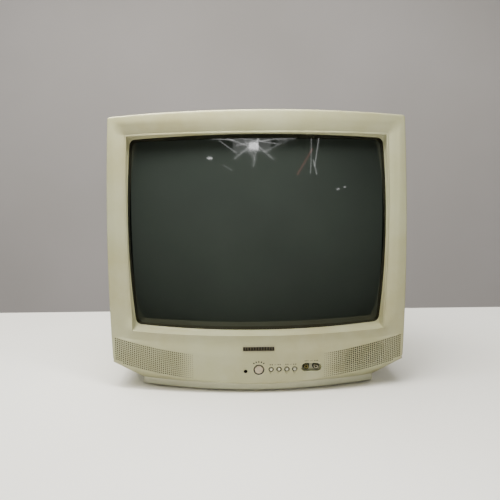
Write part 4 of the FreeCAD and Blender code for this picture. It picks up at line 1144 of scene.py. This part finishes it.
def rear_shell():
    """Moulded rear cover: hollow body and neck housing, grips, vents, terminal recess and screw channels."""
    steps = [112 + 6 * k for k in range(44)]
    shell = cover_outside(steps)
    carve(shell, cover_inside(steps))
    cuts = bmesh.new()
    for side in (-1, 1):
        bar_tool(cuts, 0, (side * OUTSIDE, side * 205), GRIP, (35, 16), 6.0, 1.5, 6)
        for i in range(12):
            bar_tool(cuts, 0, (side * OUTSIDE, side * 150), (290, 120 + 12 * i), (50, 1.5), 1.45)
    for i in range(21):
        bar_tool(cuts, 2, (470, 376), (-110 + 11 * i, 283), (1.5, 47), 1.45)
    for i in range(9):
        bar_tool(cuts, 1, (480, 462), (-48 + 12 * i, 252.5), (1.5, 47.5), 1.45)
    bar_tool(cuts, 1, (395, 377), TERMINALS, (31, 18), 3.0)
    carve(shell, new_object("vents", cuts))
    bores = bmesh.new()
    for x, z in COVER_SCREWS:
        turned(bores, [(88, 0), (88, 2.3), (118, 2.3), (118, 4.8), (262, 4.8), (262, 0)], x, z, 32)
    drum(bores, *ANTENNA, (360, 400), (6.0, 6.0))
    drum(bores, *CORD, (360, 400), (6.2, 6.2))
    carve(shell, new_object("bores", bores))


def upright(data, profile, x, depth, segments=40):
    """Solid of revolution round an upright line; profile is (height, radius) pairs."""
    angles = [2 * math.pi * i / segments for i in range(segments)]
    loops = [ring_at(data, [spot(x + radius * math.cos(a), depth + radius * math.sin(a), z)
                            for a in angles]) for z, radius in profile]
    bridge(data, loops, cap_start=True, cap_end=True)


def rear_fittings():
    """Feet, cord bushing and antenna socket."""
    data = bmesh.new()
    for x, depth in REAR_FEET:
        upright(data, [(12.0, 12.0), (2.6, 12.0), (2.1, 11.6), (2.0, 11.0)], x, depth)
    piece("rear_foot_posts", data, "cover_plastic", ("rear_cover",))
    data = bmesh.new()
    for x, depth in REAR_FEET + FRONT_FEET:
        upright(data, [(2.0, 10.2), (0.6, 10.4), (0.15, 10.2), (0.0, 9.6), (0.0, 5.0), (0.5, 4.6),
                       (0.5, 1.0)], x, depth)
    piece("rubber_pads", data, "black_rubber", ("feet",))
    turned_piece("cord_grommet", [(378.2, 3.7), (378.2, 7.8), (381.3, 7.8), (381.5, 5.9), (385.15, 5.9),
                                  (385.15, 8.6), (385.6, 9.0), (387.3, 8.9), (387.9, 8.3), (388.1, 6.2),
                                  (389.0, 5.5), (389.0, 4.1), (388.5, 3.7)],
                 *CORD, 48, "black_rubber", ("cord_bushing",))
    thread = []
    for k in range(9):
        thread += [(377.0 + 0.8 * k, 4.5), (377.4 + 0.8 * k, 4.76)]
    turned_piece("antenna_barrel", [(368.4, 3.4), (368.4, 5.6), (376.2, 5.6), (376.4, 5.3), (376.5, 4.6),
                                    *thread, (384.3, 4.7), (384.6, 4.4), (384.6, 3.6), (384.3, 3.4)],
                 *ANTENNA, 48, "socket_metal", ("antenna_socket",), smooth=25)
    turned_piece("antenna_insulator", [(369.0, 1.2), (369.0, 3.35), (383.4, 3.35), (383.8, 3.0),
                                       (383.8, 1.5), (383.4, 1.2)],
                 *ANTENNA, 40, "white_plastic", ("antenna_socket",))
    turned_piece("antenna_contact", [(370.0, 0.6), (370.0, 1.15), (383.0, 1.15), (383.2, 1.0), (383.2, 0.6)],
                 *ANTENNA, 32, "socket_metal", ("antenna_socket",))


# ---- stage -----------------------------------------------------------------------------------
# Places and sizes from here on are in metres, unless they go through spot().
def stage():
    def block(name, low, high, look):
        data = bmesh.new()
        bmesh.ops.create_cube(data, size=1.0)
        bmesh.ops.scale(data, vec=Vector(high) - Vector(low), verts=data.verts)
        bmesh.ops.translate(data, vec=(Vector(high) + Vector(low)) / 2, verts=data.verts)
        made = new_object(name, data)
        made.data.materials.append(look)
        return made

    paper = finish("table", (243, 241, 234), (238, 235, 227), 1.5, 60, 0.0001, (0.55, 0.7), speck=0.03)
    paint = finish("wall", (188, 183, 180), (182, 177, 173), 1.2, 80, 0.0001, (0.8, 0.9), speck=0.0)
    block("table", (-1.6, -2.2, -0.04), (1.6, 0.315, 0.0), paper).visible_glossy = False
    block("wall", (-4.0, 2.6, -1.6), (4.0, 2.7, 3.2), paint)
    block("ground", (-4.0, -4.0, -1.7), (4.0, 2.7, -1.6), paint).visible_glossy = False


def lamp(name, location, target, size, power, colour=(1, 1, 1)):
    light = bpy.data.lights.new(name, "AREA")
    light.shape = "RECTANGLE"
    light.size, light.size_y = size
    light.energy = power
    light.color = colour
    made = bpy.data.objects.new(name, light)
    bpy.context.scene.collection.objects.link(made)
    made.location = location
    made.rotation_euler = (Vector(target) - Vector(location)).to_track_quat("-Z", "Y").to_euler()
    return made


def lights():
    world = bpy.data.worlds.new("room")
    bpy.context.scene.world = world
    world.use_nodes = True
    colour, strength = world.node_tree.nodes["Background"].inputs[:2]
    colour.default_value = (0.97, 0.985, 1.0, 1)
    strength.default_value = 0.2
    world.cycles_visibility.glossy = False
    lamp("ceiling", (-0.55, -0.3, 2.4), (-0.1, -0.2, 0.1), (3.0, 2.2), 140, (1.0, 0.99, 0.95))
    overhead = lamp("overhead", (-0.1, -0.33, 0.64), (-0.05, -0.235, 0.3), (0.5, 0.08), 4.2,
                    (1.0, 0.99, 0.95))
    overhead.visible_camera = False
    for name, x, power in (("right_fill", 2.4, 25), ("left_fill", -2.4, 23)):
        fill = lamp(name, (x, 1.3, 1.5), (0, 0, 0.2), (1.2, 1.2), power, (1.0, 0.99, 0.96))
        fill.visible_camera = fill.visible_glossy = False
    front = lamp("front", (-0.9, -2.8, 0.7), (0, 0, 0.1), (2.4, 0.9), 2.5, (1.0, 0.99, 0.97))
    front.visible_glossy = False
    mirrored_lamps()


WHITE, RED = (1.0, 1.0, 1.0), (1.0, 0.3, 0.25)
GLARE = (      # x and z on the glass in mm, turn from level, length and width, brightness, colour
    (-5, 396, 0, 0.12, 0.09, 18.0, WHITE), (-8, 398, 0, 0.5, 0.2, 1.4, WHITE),
    (8, 404, 8, 0.7, 0.012, 6.0, WHITE), (-26, 401, -20, 0.55, 0.014, 6.0, WHITE),
    (-16, 392, 38, 0.42, 0.014, 7.0, WHITE), (9, 390, -42, 0.38, 0.012, 7.0, WHITE),
    (-2, 387, 80, 0.4, 0.012, 6.0, WHITE), (-17, 407, -8, 0.9, 0.01, 6.0, WHITE),
    (-45, 395, -35, 0.3, 0.01, 5.0, WHITE), (30, 396, 24, 0.34, 0.01, 5.0, WHITE),
    (46, 407, 3, 0.25, 0.012, 7.0, WHITE), (-54, 407, -3, 0.3, 0.012, 6.0, WHITE),
    (-11, 390, -64, 0.3, 0.012, 6.0, WHITE),
    (-74, 378, 0, 0.065, 0.026, 15.0, WHITE), (-46, 363, -30, 0.14, 0.008, 3.0, WHITE),
    (94, 386, 76, 0.38, 0.012, 5.0, WHITE), (85, 380, 84, 0.46, 0.01, 4.0, WHITE),
    (75, 371, 56, 0.4, 0.014, 3.0, RED), (91, 363, 100, 0.2, 0.012, 5.0, WHITE),
    (128, 328, 20, 0.04, 0.02, 6.0, WHITE), (139, 331, 10, 0.03, 0.02, 6.0, WHITE),
)
GLARE_DISTANCE = 2.2


def mirrored_lamps():
    """Small lamps in the room that show as glare in the tube face."""
    eye = bpy.context.scene.camera.matrix_world.translation
    centre = spot(0, SCREEN_DEPTH + SCREEN_RADIUS, TUBE_Z)
    for k, (x, z, turn, length, width, bright, colour) in enumerate(GLARE):
        on_face = spot(x, glass_depth(x, z), z)
        ray = (on_face - eye).normalized()
        outward = (on_face - centre).normalized()
        away = ray - 2 * ray.dot(outward) * outward
        power = bright * math.pi * length * width
        place = on_face + away * GLARE_DISTANCE
        made = lamp("glare_%02d" % k, place, on_face, (length, width), power, colour)
        made.rotation_euler.rotate_axis("Z", math.radians(turn))
        made.visible_camera = False


def camera():
    yaw, pitch, roll = (math.radians(angle) for angle in (0.73, 8.49, -0.51))
    forward = Vector((math.sin(yaw) * math.cos(pitch), math.cos(yaw) * math.cos(pitch), -math.sin(pitch)))
    level = Vector((math.cos(yaw), -math.sin(yaw), 0))
    up = level.cross(forward)
    across = level * math.cos(roll) + up * math.sin(roll)
    above = up * math.cos(roll) - level * math.sin(roll)
    data = bpy.data.cameras.new("camera")
    data.sensor_width, data.lens = 36.0, 43.2          # millimetres
    data.clip_start, data.clip_end = 0.01, 30.0
    made = bpy.data.objects.new("camera", data)
    bpy.context.scene.collection.objects.link(made)
    turn = Matrix((across, above, -forward)).transposed().to_4x4()
    made.matrix_world = Matrix.Translation((-0.0244, -1.163, 0.374)) @ turn
    bpy.context.scene.camera = made


camera()
stage()
lights()
shell = front_shell()
cut_controls(shell)
collars()
plinth()
tube_face()
controls()
sockets()
badge()
receiver_window()
printed_marks()
rear_shell()
rear_fittings()
